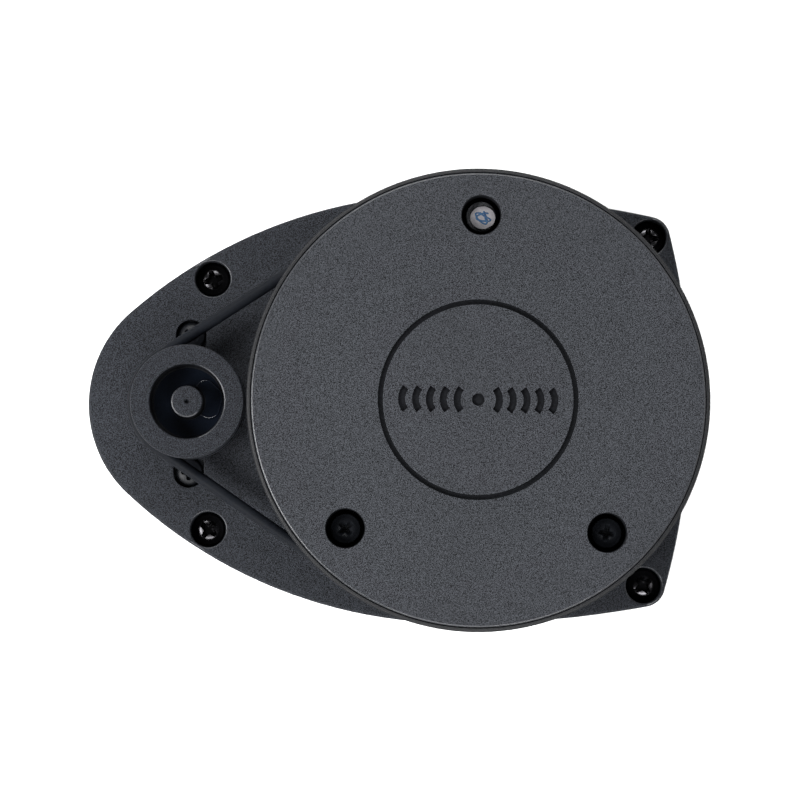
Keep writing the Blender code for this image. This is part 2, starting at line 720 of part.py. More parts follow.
def lower_board(scan_axis):
    board = box_part("lower_board", (BOARD_MIN_X, -BOARD_HALF_WIDTH, BOARD_BOTTOM),
                     (BOARD_MAX_X, BOARD_HALF_WIDTH, BOARD_TOP), "circuit_board")
    screw = screw_mesh("board_screw", M2_RADIUS, M2_HEAD_RADIUS, M2_HEAD_HEIGHT, 4.2)
    for name, (x, y) in BOARD_SCREWS.items():
        mesh = cylinder_mesh("hole", M2_RADIUS + GAP, BOARD_BOTTOM - 1, BOARD_TOP + 1, HOLE_STEPS)
        boolean(board, add_tool("board_hole_" + name, mesh, (x, y, 0)))
        at = (x, y, BOARD_BOTTOM - GAP)
        obj = add_screw("board_screw_" + name, screw, "zinc_steel", at)
        obj.rotation_euler = (math.pi, 0, 0)

    top = BOARD_BOTTOM - GAP
    x, y = DRIVER_CHIP_AT
    half = DRIVER_CHIP_SIDE / 2
    box_part("driver_chip", (x - half, y - half, top - CHIP_HEIGHT), (x + half, y + half, top),
             "chip")
    flange = INDUCTOR_RADIUS
    waist = INDUCTOR_RADIUS - 0.8
    floor = top - INDUCTOR_HEIGHT
    turned("power_inductor", [(0, top), (flange, top), (flange, top - 0.8), (waist, top - 1.2),
                              (waist, floor + 1.2), (flange, floor + 0.8), (flange, floor),
                              (0, floor)], "ferrite", COARSE, (*INDUCTOR_AT, 0))
    edge = CAPACITOR_RADIUS
    floor = top - CAPACITOR_HEIGHT
    turned("bulk_capacitor", [(0, top), (edge, top), (edge, floor + 0.4), (edge - 0.4, floor),
                              (0, floor)], "zinc_steel", COARSE, (*CAPACITOR_AT, 0))

    low = (SOCKET_MIN_X, -SOCKET_HALF_WIDTH, top - SOCKET_HEIGHT)
    high = (SOCKET_MAX_X, SOCKET_HALF_WIDTH, top)
    socket = box_part("host_socket", low, high, "nylon")
    cavity = box_mesh("cavity",
                      (low[0] + SOCKET_BACK, low[1] + SOCKET_WALL, low[2] + SOCKET_WALL),
                      (high[0] + OVERCUT, high[1] - SOCKET_WALL, high[2] - SOCKET_WALL))
    boolean(socket, add_tool("socket_cavity", cavity))
    box_part("motor_header", (HEADER_MIN_X, -HEADER_HALF_WIDTH, top - HEADER_HEIGHT),
             (HEADER_MAX_X, HEADER_HALF_WIDTH, top), "nylon")


# ------------------------------------------------------------------ motor

def motor(motor_axis):
    disc_top = SKIN_BOTTOM - GAP
    disc_bottom = MOTOR_TOP + GAP
    bore = MOTOR_RADIUS + GAP
    holder = turned("motor_holder", [
        (HOLDER_RADIUS, disc_top),
        (HOLDER_RADIUS, HOLDER_BOTTOM),
        (bore, HOLDER_BOTTOM),
        (bore, disc_bottom),
        (BUSH_RADIUS + 1.0, disc_bottom),
        (BUSH_RADIUS + 1.0, disc_top),
    ], "black_plastic", MEDIUM, axis=motor_axis)
    screw = screw_mesh("motor_screw", M25_RADIUS, MOTOR_HEAD_RADIUS, MOTOR_HEAD_HEIGHT, 4.0)
    for tag, side in (("left", 1), ("right", -1)):
        at = (0, side * MOTOR_SCREW_Y, 0)
        mesh = cylinder_mesh("hole", M25_RADIUS + GAP, disc_bottom - OVERCUT,
                             disc_top + OVERCUT, HOLE_STEPS)
        boolean(holder, add_tool("holder_hole_" + tag, mesh, at, motor_axis))
        at = (0, side * MOTOR_SCREW_Y, MOTOR_SLOT_FLOOR + GAP)
        add_screw("motor_screw_" + tag, screw, "black_steel", at, motor_axis)

    inside = MOTOR_RADIUS - MOTOR_WALL
    ceiling = MOTOR_TOP - MOTOR_WALL
    turned("motor_can", [
        (MOTOR_RADIUS - 0.6, MOTOR_TOP),
        (MOTOR_RADIUS, MOTOR_TOP - 0.6),
        (MOTOR_RADIUS, MOTOR_BOTTOM),
        (inside, MOTOR_BOTTOM),
        (inside, ceiling),
        (BUSH_RADIUS + GAP, ceiling),
        (BUSH_RADIUS + GAP, MOTOR_TOP),
    ], "zinc_steel", MEDIUM, axis=motor_axis)
    turned("motor_end_cap",
           [(0, CAP_TOP), (inside - GAP, CAP_TOP), (inside - GAP, CAP_BOTTOM), (0, CAP_BOTTOM)],
           "nylon", MEDIUM, axis=motor_axis)
    turned("motor_bush", ring_profile(SHAFT_RADIUS + GAP, BUSH_RADIUS, BUSH_BOTTOM, BUSH_TOP),
           "bronze", COARSE, axis=motor_axis)
    magnet = turned("motor_magnet",
                    ring_profile(MAGNET_INNER, inside - GAP, MAGNET_BOTTOM, MAGNET_TOP),
                    "ferrite", MEDIUM, axis=motor_axis)
    mesh = box_mesh("gap", (0, -1.5, MAGNET_BOTTOM - OVERCUT),
                    (MOTOR_RADIUS, 1.5, MAGNET_TOP + OVERCUT))
    boolean(magnet, add_tool("magnet_gap", mesh, axis=motor_axis))

    bore = SHAFT_RADIUS + GAP
    turned("motor_armature", [
        (ARMATURE_RADIUS, ARMATURE_TOP),
        (ARMATURE_RADIUS, ARMATURE_BOTTOM),
        (COMMUTATOR_RADIUS, ARMATURE_BOTTOM),
        (COMMUTATOR_RADIUS, COMMUTATOR_BOTTOM),
        (bore, COMMUTATOR_BOTTOM),
        (bore, ARMATURE_TOP),
    ], "copper", MEDIUM, axis=motor_axis)
    shaft_top = PULLEY_TOP - 1.5
    turned("motor_shaft", [(0, shaft_top), (SHAFT_RADIUS, shaft_top),
                           (SHAFT_RADIUS, SHAFT_BOTTOM), (0, SHAFT_BOTTOM)],
           "bearing_steel", COARSE, axis=motor_axis)

    for name, side in (("motor_lead_red", 1), ("motor_lead_black", -1)):
        start_x = MOTOR_X + 7.0
        path = [(start_x, side * 2.2, 3.1), (start_x + 0.3, side * 2.2, 2.2),
                (start_x + 1.4, side * 2.1, 1.6), (start_x + 3.6, side * 2.0, 1.5),
                (start_x + 6.0, side * 1.9, 2.0), (start_x + 7.8, side * 1.8, 3.4),
                (start_x + 8.6, side * 1.7, 5.4), (start_x + 8.9, side * 1.6, 7.6),
                (start_x + 9.2, side * 1.6, 9.4), (start_x + 10.0, side * 1.6, 10.8),
                (-14.6, side * 1.6, 11.4), (-13.8, side * 1.6, 11.4)]
        tube(name, path, LEAD_RADIUS, name.replace("motor_lead_", "") + "_lead")


def pulley(motor_axis):
    """The motor pulley: a belt groove, a deep recess in its top and a hub on the shaft."""
    groove = arc((PULLEY_PITCH_RADIUS, BELT_Z), GROOVE_RADIUS, 115, 245, 5)
    cap = PULLEY_CAP_RADIUS
    bore = SHAFT_RADIUS + GAP
    turned("motor_pulley", [
        (0, PULLEY_TOP - 0.2),
        (PULLEY_HUB_RADIUS, PULLEY_TOP - 0.2),
        (PULLEY_HUB_RADIUS, PULLEY_RECESS_FLOOR),
        (PULLEY_RECESS_RADIUS, PULLEY_RECESS_FLOOR),
        (PULLEY_RECESS_RADIUS, PULLEY_TOP),
        (cap - 0.25, PULLEY_TOP),
        (cap, PULLEY_TOP - 0.25),
        (cap, BELT_Z + 1.9),
    ] + groove + [
        (cap, BELT_Z - 1.9),
        (cap, PULLEY_BOTTOM),
        (bore, PULLEY_BOTTOM),
        (bore, PULLEY_TOP - 1.2),
        (0, PULLEY_TOP - 1.2),
    ], "black_plastic", MEDIUM, axis=motor_axis)


def drive_belt():
    """A round belt: two straight runs, with a long wrap on the head and a short one on the
    pulley."""
    lean = math.degrees(math.asin((HEAD_PITCH_RADIUS - PULLEY_PITCH_RADIUS) / AXIS_DISTANCE))
    touch = 90 + lean
    route = arc((SCAN_X, 0), HEAD_PITCH_RADIUS, -touch, touch, 29)
    route += arc((MOTOR_X, 0), PULLEY_PITCH_RADIUS, touch, 360 - touch, 10)
    path = [(x, y, BELT_Z) for x, y in route]
    tube("drive_belt", path, BELT_RADIUS, "rubber", closed=True)


# ------------------------------------------------------------------ scanner head

def cover_screw_places():
    for number, degrees in enumerate(COVER_SCREW_ANGLES, start=1):
        angle = math.radians(degrees)
        yield (number, COVER_SCREW_CIRCLE * math.cos(angle), COVER_SCREW_CIRCLE * math.sin(angle))


def turret_base(scan_axis):
    """The dish that runs on the bearing: belt groove outside, screw posts inside."""
    groove = arc((HEAD_PITCH_RADIUS, BELT_Z), GROOVE_RADIUS, 75, 285, 6)
    channel = 1.1
    roof = PLATE_TOP + 3.3
    inner = TURRET_BOARD_RADIUS + GAP
    boss = BEARING_OUTER + GAP
    turret = turned("turret_base", [
        (SPIGOT_RADIUS, SPIGOT_TOP),
        (SPIGOT_RADIUS, TURRET_TOP),
        (TURRET_RADIUS, TURRET_TOP),
        (TURRET_RADIUS, BELT_Z + 1.5),
    ] + groove + [
        (TURRET_RADIUS, BELT_Z - 1.5),
        (TURRET_RADIUS, TURRET_BOTTOM + 0.9),
        (TURRET_RADIUS - 1.4, TURRET_BOTTOM),
        (ENCODER_RADIUS + channel, TURRET_BOTTOM),
        (ENCODER_RADIUS + channel, roof),
        (ENCODER_RADIUS - channel, roof),
        (ENCODER_RADIUS - channel, TURRET_BOTTOM),
        (BEARING_OUTER - 1.0, TURRET_BOTTOM),
        (BEARING_OUTER - 1.0, BEARING_BOTTOM - GAP),
        (boss, BEARING_BOTTOM - GAP),
        (boss, BEARING_TOP + GAP),
        (boss + 1.9, BEARING_TOP + GAP),
        (boss + 1.9, TURRET_FLOOR),
        (COIL_OUTER + 1.1, TURRET_FLOOR),
        (COIL_OUTER + 1.1, roof + 1.5),
        (inner - 1.8, roof + 1.5),
        (inner - 1.8, TURRET_BOARD_BOTTOM - GAP),
        (inner, TURRET_BOARD_BOTTOM - GAP),
        (inner, SPIGOT_TOP),
    ], "black_plastic", FINE, axis=scan_axis)
    for number, x, y in cover_screw_places():
        top = COVER_BOSS_BOTTOM - GAP
        mesh = cylinder_mesh("post", POST_RADIUS, roof + 0.5, top)
        boolean(turret, add_tool(f"cover_post_{number}", mesh, (x, y, 0), scan_axis), "UNION")
        mesh = cylinder_mesh("hole", M25_RADIUS + GAP, top - 9, top + 1, HOLE_STEPS)
        boolean(turret, add_tool(f"post_bore_{number}", mesh, (x, y, 0), scan_axis))
    mesh = box_mesh("window", (-2.5, -ENCODER_RADIUS - 3, roof - 1),
                    (2.5, -ENCODER_RADIUS + 3, roof + 3))
    boolean(turret, add_tool("encoder_window", mesh, axis=scan_axis))


def turret_board(scan_axis):
    top = TURRET_BOARD_BOTTOM + BOARD_THICKNESS
    mesh = cylinder_mesh("turret_board", TURRET_BOARD_RADIUS, TURRET_BOARD_BOTTOM, top, MEDIUM)
    board = add_part("turret_board", mesh, "circuit_board", axis=scan_axis)
    for number, x, y in cover_screw_places():
        mesh = cylinder_mesh("notch", POST_RADIUS + GAP, TURRET_BOARD_BOTTOM - 1, top + 1)
        notch = add_tool(f"board_notch_{number}", mesh, (x, y, 0), scan_axis)
        boolean(board, notch)
    x, y = PROCESSOR_AT
    half = PROCESSOR_SIDE / 2
    box_part("processor_chip", (x - half, y - half, top + GAP),
             (x + half, y + half, top + GAP + CHIP_HEIGHT), "chip", scan_axis)


def optics(scan_axis):
    """The block that holds the laser and the receiver side by side, both looking along +Y."""
    bottom = TURRET_BOARD_BOTTOM + BOARD_THICKNESS + GAP
    frame = box_part("optics_frame", (LASER_X - 6.0, FRAME_BACK, bottom),
                     (RECEIVER_X + 8.5, FRAME_FRONT, OPTICS_Z + FRAME_HALF_HEIGHT),
                     "black_plastic", scan_axis)
    for tag, x, radius in (("laser", LASER_X, LASER_BARREL_RADIUS),
                           ("receiver", RECEIVER_X, RECEIVER_BARREL_RADIUS)):
        mesh = cylinder_mesh("bore", radius + GAP, FRAME_BACK - OVERCUT,
                             FRAME_FRONT + OVERCUT, OPTICS_STEPS)
        bore = add_tool("frame_bore_" + tag, mesh, (x, 0, OPTICS_Z), scan_axis)
        face_along_y(bore)
        boolean(frame, bore)
    # A gap between the two bores lightens the block.
    mesh = box_mesh("relief", (-7.0, FRAME_BACK - OVERCUT, bottom + 5.0),
                    (4.0, FRAME_FRONT + OVERCUT, OPTICS_Z + FRAME_HALF_HEIGHT + OVERCUT))
    boolean(frame, add_tool("frame_relief", mesh, axis=scan_axis))

    def facing(name, profile, kind, x):
        """A turned piece on the axis of the laser or the receiver; its z runs along +Y."""
        face_along_y(turned(name, profile, kind, OPTICS_STEPS, (x, 0, OPTICS_Z), scan_axis))

    facing("laser_barrel",
           ring_profile(LASER_BARREL_BORE, LASER_BARREL_RADIUS,
                        LASER_BARREL_BACK, LASER_BARREL_FRONT), "black_plastic", LASER_X)
    edge = LASER_LENS_RADIUS
    back = LASER_LENS_BACK
    facing("laser_lens", [(0, back + 2.0), (edge * 0.55, back + 1.8), (edge, back + 1.2),
                          (edge, back), (0, back)], "glass", LASER_X)
    back = DIODE_BACK
    facing("laser_diode", [(0, back + 3.2), (1.8, back + 3.2), (1.8, back + 1.2),
                           (2.8, back + 1.2), (2.8, back), (0, back)], "zinc_steel", LASER_X)

    seat = RECEIVER_LENS_RADIUS + GAP
    outer = RECEIVER_BARREL_RADIUS
    facing("receiver_barrel",
           [(outer, RECEIVER_BARREL_FRONT), (outer, RECEIVER_BARREL_BACK),
            (RECEIVER_BARREL_BORE, RECEIVER_BARREL_BACK),
            (RECEIVER_BARREL_BORE, RECEIVER_LENS_BACK - GAP),
            (seat, RECEIVER_LENS_BACK - GAP), (seat, RECEIVER_BARREL_FRONT)],
           "black_plastic", RECEIVER_X)
    edge = RECEIVER_LENS_RADIUS
    back = RECEIVER_LENS_BACK
    facing("receiver_lens", [(0, back + 4.3), (edge * 0.42, back + 4.1),
                             (edge * 0.75, back + 3.4), (edge, back + 2.3),
                             (edge, back + 0.5), (0, back)], "glass", RECEIVER_X)

    board_front = SENSOR_BOARD_BACK + BOARD_THICKNESS
    half = 8.0
    box_part("sensor_board", (RECEIVER_X - half, SENSOR_BOARD_BACK, OPTICS_Z - half),
             (RECEIVER_X + half, board_front, OPTICS_Z + FRAME_HALF_HEIGHT),
             "circuit_board", scan_axis)
    wide, tall = IMAGE_SENSOR_HALF
    back = board_front + GAP
    box_part("image_sensor", (RECEIVER_X - wide, back, OPTICS_Z - tall),
             (RECEIVER_X + wide, back + BOARD_THICKNESS, OPTICS_Z + tall), "chip", scan_axis)


def top_cover(scan_axis):
    """The spinning hood: a stepped rim, three screw wells and two round windows."""
    inner = HEAD_RADIUS - COVER_WALL
    cover = turned("top_cover", [
        (0, HEIGHT),
        (HEAD_RADIUS - 0.85, HEIGHT),
        (HEAD_RADIUS - 0.6, HEIGHT - 0.25),
        (HEAD_RADIUS - 0.6, HEIGHT - 0.55),
        (HEAD_RADIUS - 0.2, HEIGHT - 0.55),
        (HEAD_RADIUS, HEIGHT - 0.75),
        (HEAD_RADIUS, COVER_BOTTOM),
        (inner, COVER_BOTTOM),
        (inner, HEIGHT - COVER_ROOF),
        (0, HEIGHT - COVER_ROOF),
    ], "black_plastic", FINE, axis=scan_axis)
    screw = screw_mesh("cover_screw", M25_RADIUS, M25_HEAD_RADIUS, M25_HEAD_HEIGHT,
                       COVER_SCREW_LENGTH)
    for number, x, y in cover_screw_places():
        mesh = cylinder_mesh("boss", COVER_BOSS_RADIUS, COVER_BOSS_BOTTOM, HEIGHT - 1)
        boolean(cover, add_tool(f"cover_boss_{number}", mesh, (x, y, 0), scan_axis), "UNION")
        mesh = cylinder_mesh("well", COVER_WELL_RADIUS, COVER_WELL_FLOOR, HEIGHT + 1)
        boolean(cover, add_tool(f"cover_well_{number}", mesh, (x, y, 0), scan_axis))
        mesh = cylinder_mesh("hole", M25_RADIUS + GAP, COVER_BOSS_BOTTOM - 1,
                             HEIGHT - 3, HOLE_STEPS)
        boolean(cover, add_tool(f"cover_hole_{number}", mesh, (x, y, 0), scan_axis))
        at = (x, y, COVER_WELL_FLOOR + GAP)
        add_screw(f"cover_screw_{number}", screw, "black_steel", at, scan_axis)
    for tag, x, radius in (("laser", LASER_X, LASER_WINDOW_RADIUS),
                           ("receiver", RECEIVER_X, RECEIVER_WINDOW_RADIUS)):
        mesh = cylinder_mesh("window", radius, WINDOW_CUT_START, HEAD_RADIUS + 2, MEDIUM)
        window = add_tool("cover_window_" + tag, mesh, (x, 0, OPTICS_Z), scan_axis)
        face_along_y(window)
        boolean(cover, window)

    # The paper seal lies a little off centre on the head of the first cover screw.
    top = COVER_WELL_FLOOR + GAP + M25_HEAD_HEIGHT + GAP
    mesh = cylinder_mesh("seal_label", SEAL_RADIUS, top, top + SEAL_THICKNESS)
    at = (SEAL_SHIFT, COVER_SCREW_CIRCLE - SEAL_SHIFT, 0)
    add_part("seal_label", mesh, "paper", at, scan_axis)


# ------------------------------------------------------------------ assembly

def axis_empty(name, x):
    empty = bpy.data.objects.new(name, None)
    empty.location = (x * MM, 0, 0)
    PARTS.objects.link(empty)
    return empty


def main():
    scan_axis = axis_empty("scan_axis", SCAN_X)
    motor_axis = axis_empty("motor_axis", MOTOR_X)
    bpy.context.view_layer.update()
    base_plate(scan_axis, motor_axis)
    legs(scan_axis)
    bearing(scan_axis)
    power_and_data_link(scan_axis)
    encoder(scan_axis)
    lower_board(scan_axis)
    motor(motor_axis)
    pulley(motor_axis)
    drive_belt()
    turret_base(scan_axis)
    turret_board(scan_axis)
    optics(scan_axis)
    top_cover(scan_axis)


clear_scene()
PARTS = new_collection("lidar_scanner_module")
TOOLS = new_collection("cutters")
main()
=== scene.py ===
"""The looks of the belt-driven lidar scanner module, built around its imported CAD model.

Lengths in the tables and profiles below are millimetres, and MM turns them into metres.
"Left" is the +Y side, and the scanner head's optics look along +Y.
"""
import json
import math
import random

import bmesh
import bpy
from mathutils import Matrix, Vector


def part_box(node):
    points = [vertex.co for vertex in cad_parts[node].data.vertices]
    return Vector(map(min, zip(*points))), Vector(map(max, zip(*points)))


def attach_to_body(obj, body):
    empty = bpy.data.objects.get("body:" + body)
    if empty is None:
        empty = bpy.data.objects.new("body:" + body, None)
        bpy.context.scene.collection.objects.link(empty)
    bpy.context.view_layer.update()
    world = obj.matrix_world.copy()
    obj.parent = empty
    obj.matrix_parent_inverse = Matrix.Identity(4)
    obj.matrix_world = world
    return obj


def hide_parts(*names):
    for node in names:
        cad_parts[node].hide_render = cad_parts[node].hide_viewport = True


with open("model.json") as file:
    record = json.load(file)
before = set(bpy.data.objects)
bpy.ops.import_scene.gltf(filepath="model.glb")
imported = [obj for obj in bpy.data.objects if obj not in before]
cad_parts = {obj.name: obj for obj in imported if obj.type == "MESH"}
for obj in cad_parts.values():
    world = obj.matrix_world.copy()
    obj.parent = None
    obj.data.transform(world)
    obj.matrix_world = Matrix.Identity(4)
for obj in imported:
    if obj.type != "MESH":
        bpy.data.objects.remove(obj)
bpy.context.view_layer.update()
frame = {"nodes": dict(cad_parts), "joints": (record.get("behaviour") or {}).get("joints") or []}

MM = 0.001
FINE = 256                # facets around the head
ROUND = 96                # facets around a middle-sized piece
SMALL = 48                # facets around a small one
ARC_STEP = math.radians(12)
PHASE = 0.37              # turns every facet off the axes, so cutters don't share edges

JOINTS = {joint["name"]: joint for joint in frame["joints"]}
SCAN_X = JOINTS["scan_spin"]["pos_m"][0] / MM
MOTOR_X = JOINTS["motor_spin"]["pos_m"][0] / MM


def node_box(name):
    """The lowest and highest corners of a CAD node, in millimetres."""
    low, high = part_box(name)
    return low / MM, high / MM


def node_centre(name):
    low, high = node_box(name)
    return (low + high) / 2


def place_of(name):
    """A CAD node's centre as seen from above."""
    return node_centre(name)[:2]


# ----- node materials

def feed(tree, socket, value):
    """Set a socket to a value, or link another node's socket to it."""
    if isinstance(value, bpy.types.NodeSocket):
        tree.links.new(value, socket)
    else:
        socket.default_value = value


def add_node(tree, kind, inputs=(), **settings):
    node = tree.nodes.new(kind)
    for key, value in settings.items():
        setattr(node, key, value)
    for key, value in dict(inputs).items():
        feed(tree, node.inputs[key], value)
    return node


class Graph:
    """A material's node tree, with short calls for the nodes used here."""

    def __init__(self, name):
        self.material = bpy.data.materials.new(name)
        self.material.use_nodes = True
        self.tree = self.material.node_tree
        self.shader = self.tree.nodes["Principled BSDF"]
        self.place = self.add("ShaderNodeTexCoord").outputs["Object"]
        # Turned, so that no flat face lies along a plane of the noise's grid.
        self.coordinates = self.add("ShaderNodeMapping", {
            "Vector": self.place, "Rotation": (0.5, 0.8, 0.3)}).outputs["Vector"]

    def add(self, kind, inputs=(), **settings):
        return add_node(self.tree, kind, inputs, **settings)

    def noise(self, scale, detail=2.0, roughness=0.5, vector=None):
        node = self.add("ShaderNodeTexNoise", {
            "Vector": vector or self.coordinates, "Scale": scale, "Detail": detail,
            "Roughness": roughness})
        return node.outputs["Fac"]

    def stretch(self, scale):
        """The coordinates, scaled unevenly."""
        node = self.add("ShaderNodeMapping", {"Vector": self.place, "Scale": scale})
        return node.outputs["Vector"]

    def ramp(self, value, low, high, from_low=0.3, from_high=0.7):
        node = self.add("ShaderNodeMapRange", {
            "Value": value, "From Min": from_low, "From Max": from_high,
            "To Min": low, "To Max": high})
        return node.outputs["Result"]

    def math(self, operation, a, b=0.0):
        node = self.add("ShaderNodeMath", {0: a, 1: b}, operation=operation)
        return node.outputs["Value"]

    def blend(self, share, first, second, mode="MIX"):
        """Two colours mixed, each a socket or three numbers."""
        first, second = (colour if isinstance(colour, bpy.types.NodeSocket) else (*colour, 1.0)
                         for colour in (first, second))
        node = self.add("ShaderNodeMix", {0: share, 6: first, 7: second}, data_type="RGBA",
                        blend_type=mode)
        return node.outputs[2]

    def bump(self, height, strength, distance):
        node = self.add("ShaderNodeBump", {
            "Height": height, "Strength": strength, "Distance": distance})
        self.drive("Normal", node.outputs["Normal"])

    def drive(self, socket, value):
        feed(self.tree, self.shader.inputs[socket], value)


def grey(value, tint=0.0):
    """A near-neutral colour, with tint pulling it towards blue."""
    return (value, value * (1 + tint * 0.3), value * (1 + tint))


def textured_plastic(name, level, tint=0.10, speckle=0.85, spread=0.09, roughness=0.52,
                     specular=0.10, depth=0.035):
    """Moulded plastic with the fine grain of an etched mould.

    speckle is how far the grain's tones lie from the level, spread how softly they meet.
    """
    g = Graph(name)
    fine = g.noise(9000, detail=1.0)
    broad = g.noise(45)
    dark = grey(level * (1 - speckle), tint)
    light = grey(level * (1 + speckle), tint)
    colour = g.blend(g.ramp(fine, 0.0, 1.0, 0.5 - spread, 0.5 + spread), dark, light)
    shade = g.ramp(broad, 0.95, 1.05)
    tone = g.blend(1.0, colour, g.add("ShaderNodeCombineColor", {
        "Red": shade, "Green": shade, "Blue": shade}).outputs["Color"], "MULTIPLY")
    g.drive("Base Color", tone)
    g.drive("Roughness", g.ramp(fine, roughness - 0.06, roughness + 0.08))
    g.drive("Specular IOR Level", specular)
    g.bump(fine, 0.8, depth * MM)
    return g.material


def smooth_plastic(name, level, roughness=0.38, tint=0.05, specular=0.5):
    """Smooth moulded plastic with faint flow marks."""
    g = Graph(name)
    flow = g.noise(140, detail=4.0, roughness=0.6, vector=g.stretch((1.0, 1.0, 2.5)))
    g.drive("Base Color", g.blend(g.ramp(flow, 0.0, 1.0), grey(level * 0.85, tint),
                                  grey(level * 1.2, tint)))
    g.drive("Roughness", g.ramp(flow, roughness - 0.05, roughness + 0.07))
    g.drive("Specular IOR Level", specular)
    g.bump(flow, 0.12, 0.04 * MM)
    return g.material


def metal(name, colour, roughness, brush=(1.0, 1.0, 1.0), mark=0.12, bump=0.10):
    """Metal with fine machining marks, stretched along the brush direction."""
    g = Graph(name)
    marks = g.noise(900, detail=4.0, roughness=0.7, vector=g.stretch(brush))
    stains = g.noise(160, detail=3.0)
    dark = tuple(c * (1 - mark) for c in colour)
    light = tuple(min(1.0, c * (1 + mark)) for c in colour)
    g.drive("Base Color", g.blend(g.ramp(stains, 0.0, 1.0), dark, light))
    g.drive("Metallic", 1.0)
    g.drive("Roughness", g.ramp(marks, roughness * 0.8, roughness * 1.3))
    g.bump(marks, bump, 0.02 * MM)
    return g.material


def rubber(name, level=0.0030):
    """Round cord rubber: dull, with fine dust in its pores."""
    g = Graph(name)
    pores = g.noise(1800, detail=3.0, roughness=0.6)
    dust = g.noise(260)
    dull = g.blend(g.ramp(pores, 0.0, 1.0), grey(level * 0.8, 1.0), grey(level * 1.35, 1.0))
    g.drive("Base Color", g.blend(g.ramp(dust, 0.0, 0.35), dull, grey(level * 1.9, 0.3)))
    g.drive("Roughness", g.ramp(pores, 0.5, 0.66))
    g.drive("Specular IOR Level", 0.09)
    g.bump(pores, 0.25, 0.03 * MM)
    return g.material


def solder_mask(name):
    """A board's lacquer over copper traces: the traces stand proud and look lighter."""
    g = Graph(name)
    bricks = g.add("ShaderNodeTexBrick", {
        "Vector": g.place, "Scale": 620.0, "Mortar Size": 0.016, "Mortar Smooth": 0.2,
        "Color1": (0, 0, 0, 1), "Color2": (0, 0, 0, 1), "Mortar": (1, 1, 1, 1)},
        offset=0.37, squash=1.6)
    lacquer = g.noise(500, detail=3.0)
    base = g.blend(g.ramp(lacquer, 0.0, 1.0), (0.008, 0.040, 0.026), (0.012, 0.056, 0.034))
    traces = g.add("ShaderNodeRGBToBW", {"Color": bricks.outputs["Color"]}).outputs["Val"]
    g.drive("Base Color", g.blend(traces, base, (0.030, 0.115, 0.062)))
    g.drive("Roughness", g.ramp(lacquer, 0.26, 0.38))
    g.bump(traces, 0.5, 0.03 * MM)
    return g.material


def wound_copper(name, turns):
    """Enamelled wire wound around the Z axis."""
    g = Graph(name)
    split = g.add("ShaderNodeSeparateXYZ", {"Vector": g.place})
    x = g.math("SUBTRACT", split.outputs["X"], SCAN_X * MM)
    radius = g.math("SQRT", g.math("ADD", g.math("MULTIPLY", x, x),
                                   g.math("MULTIPLY", split.outputs["Y"], split.outputs["Y"])))
    wave = g.math("SINE", g.math("MULTIPLY", radius, turns))
    tint = g.noise(300)
    wire = g.blend(g.ramp(tint, 0.0, 1.0), (0.50, 0.20, 0.07), (0.66, 0.31, 0.13))
    g.drive("Base Color", g.blend(g.ramp(wave, 0.0, 1.0, -1.0, -0.2), (0.12, 0.04, 0.015), wire))
    g.drive("Metallic", 1.0)
    g.drive("Roughness", g.ramp(tint, 0.28, 0.42))
    g.bump(wave, 0.6, 0.05 * MM)
    return g.material


def speckled(name, dark, light, scale, roughness, metallic=0.0, specular=0.5):
    """Two colours mixed by a fine noise, for ferrite, epoxy, nylon, paper and the like."""
    g = Graph(name)
    grain = g.noise(scale, detail=3.0, roughness=0.6)
    g.drive("Base Color", g.blend(g.ramp(grain, 0.0, 1.0), dark, light))
    g.drive("Metallic", metallic)
    g.drive("Roughness", g.ramp(grain, roughness - 0.05, roughness + 0.08))
    g.drive("Specular IOR Level", specular)
    g.bump(grain, 0.2, 0.03 * MM)
    return g.material


def coated_glass(name, colour):
    """Lens glass with a coating that shifts in tint across its face."""
    g = Graph(name)
    facing = g.add("ShaderNodeLayerWeight", {"Blend": 0.45}).outputs["Facing"]
    drift = g.noise(90, detail=1.0)
    rim = g.blend(facing, colour, (0.30, 0.12, 0.42))
    g.drive("Base Color", g.blend(g.ramp(drift, 0.0, 0.25), rim, (0.10, 0.32, 0.30)))
    g.drive("Roughness", 0.03)
    g.drive("IOR", 1.52)
    g.drive("Coat Weight", 1.0)
    g.drive("Coat Roughness", 0.02)
    g.bump(drift, 0.02, 0.05 * MM)
    return g.material


HEAD_PLASTIC = textured_plastic("head_plastic", 0.0224, tint=0.22, speckle=0.90)
PLATE_PLASTIC = textured_plastic("plate_plastic", 0.0148, tint=0.32, speckle=1.0, spread=0.05)
PULLEY_PLASTIC = textured_plastic("pulley_plastic", 0.0130, tint=0.34, speckle=1.0)
# A shinier copy of the plastic, coated on edges where glints show: a painted highlight.
HIGHLIGHT_EDGE_PLASTIC = textured_plastic("painted_highlight_edge", 0.019, tint=0.25, speckle=0.5, roughness=0.30,
                                specular=0.52, depth=0.012)
# A darker copy of the head's plastic for the rim's lip: painted shade.
RIM_SHADE_PLASTIC = textured_plastic("rim_painted_shade", 0.0125, speckle=0.5, roughness=0.40,
                               specular=0.14, depth=0.012)
LEG_PLASTIC = textured_plastic("leg_plastic", 0.018, speckle=0.4)
INNER_PLASTIC = smooth_plastic("inner_plastic", 0.012, roughness=0.45)
GLOSS_BLACK = smooth_plastic("gloss_black", 0.0028, roughness=0.12, tint=1.6, specular=0.28)
VARNISH = smooth_plastic("varnish", 0.0050, roughness=0.10, tint=1.2, specular=0.75)
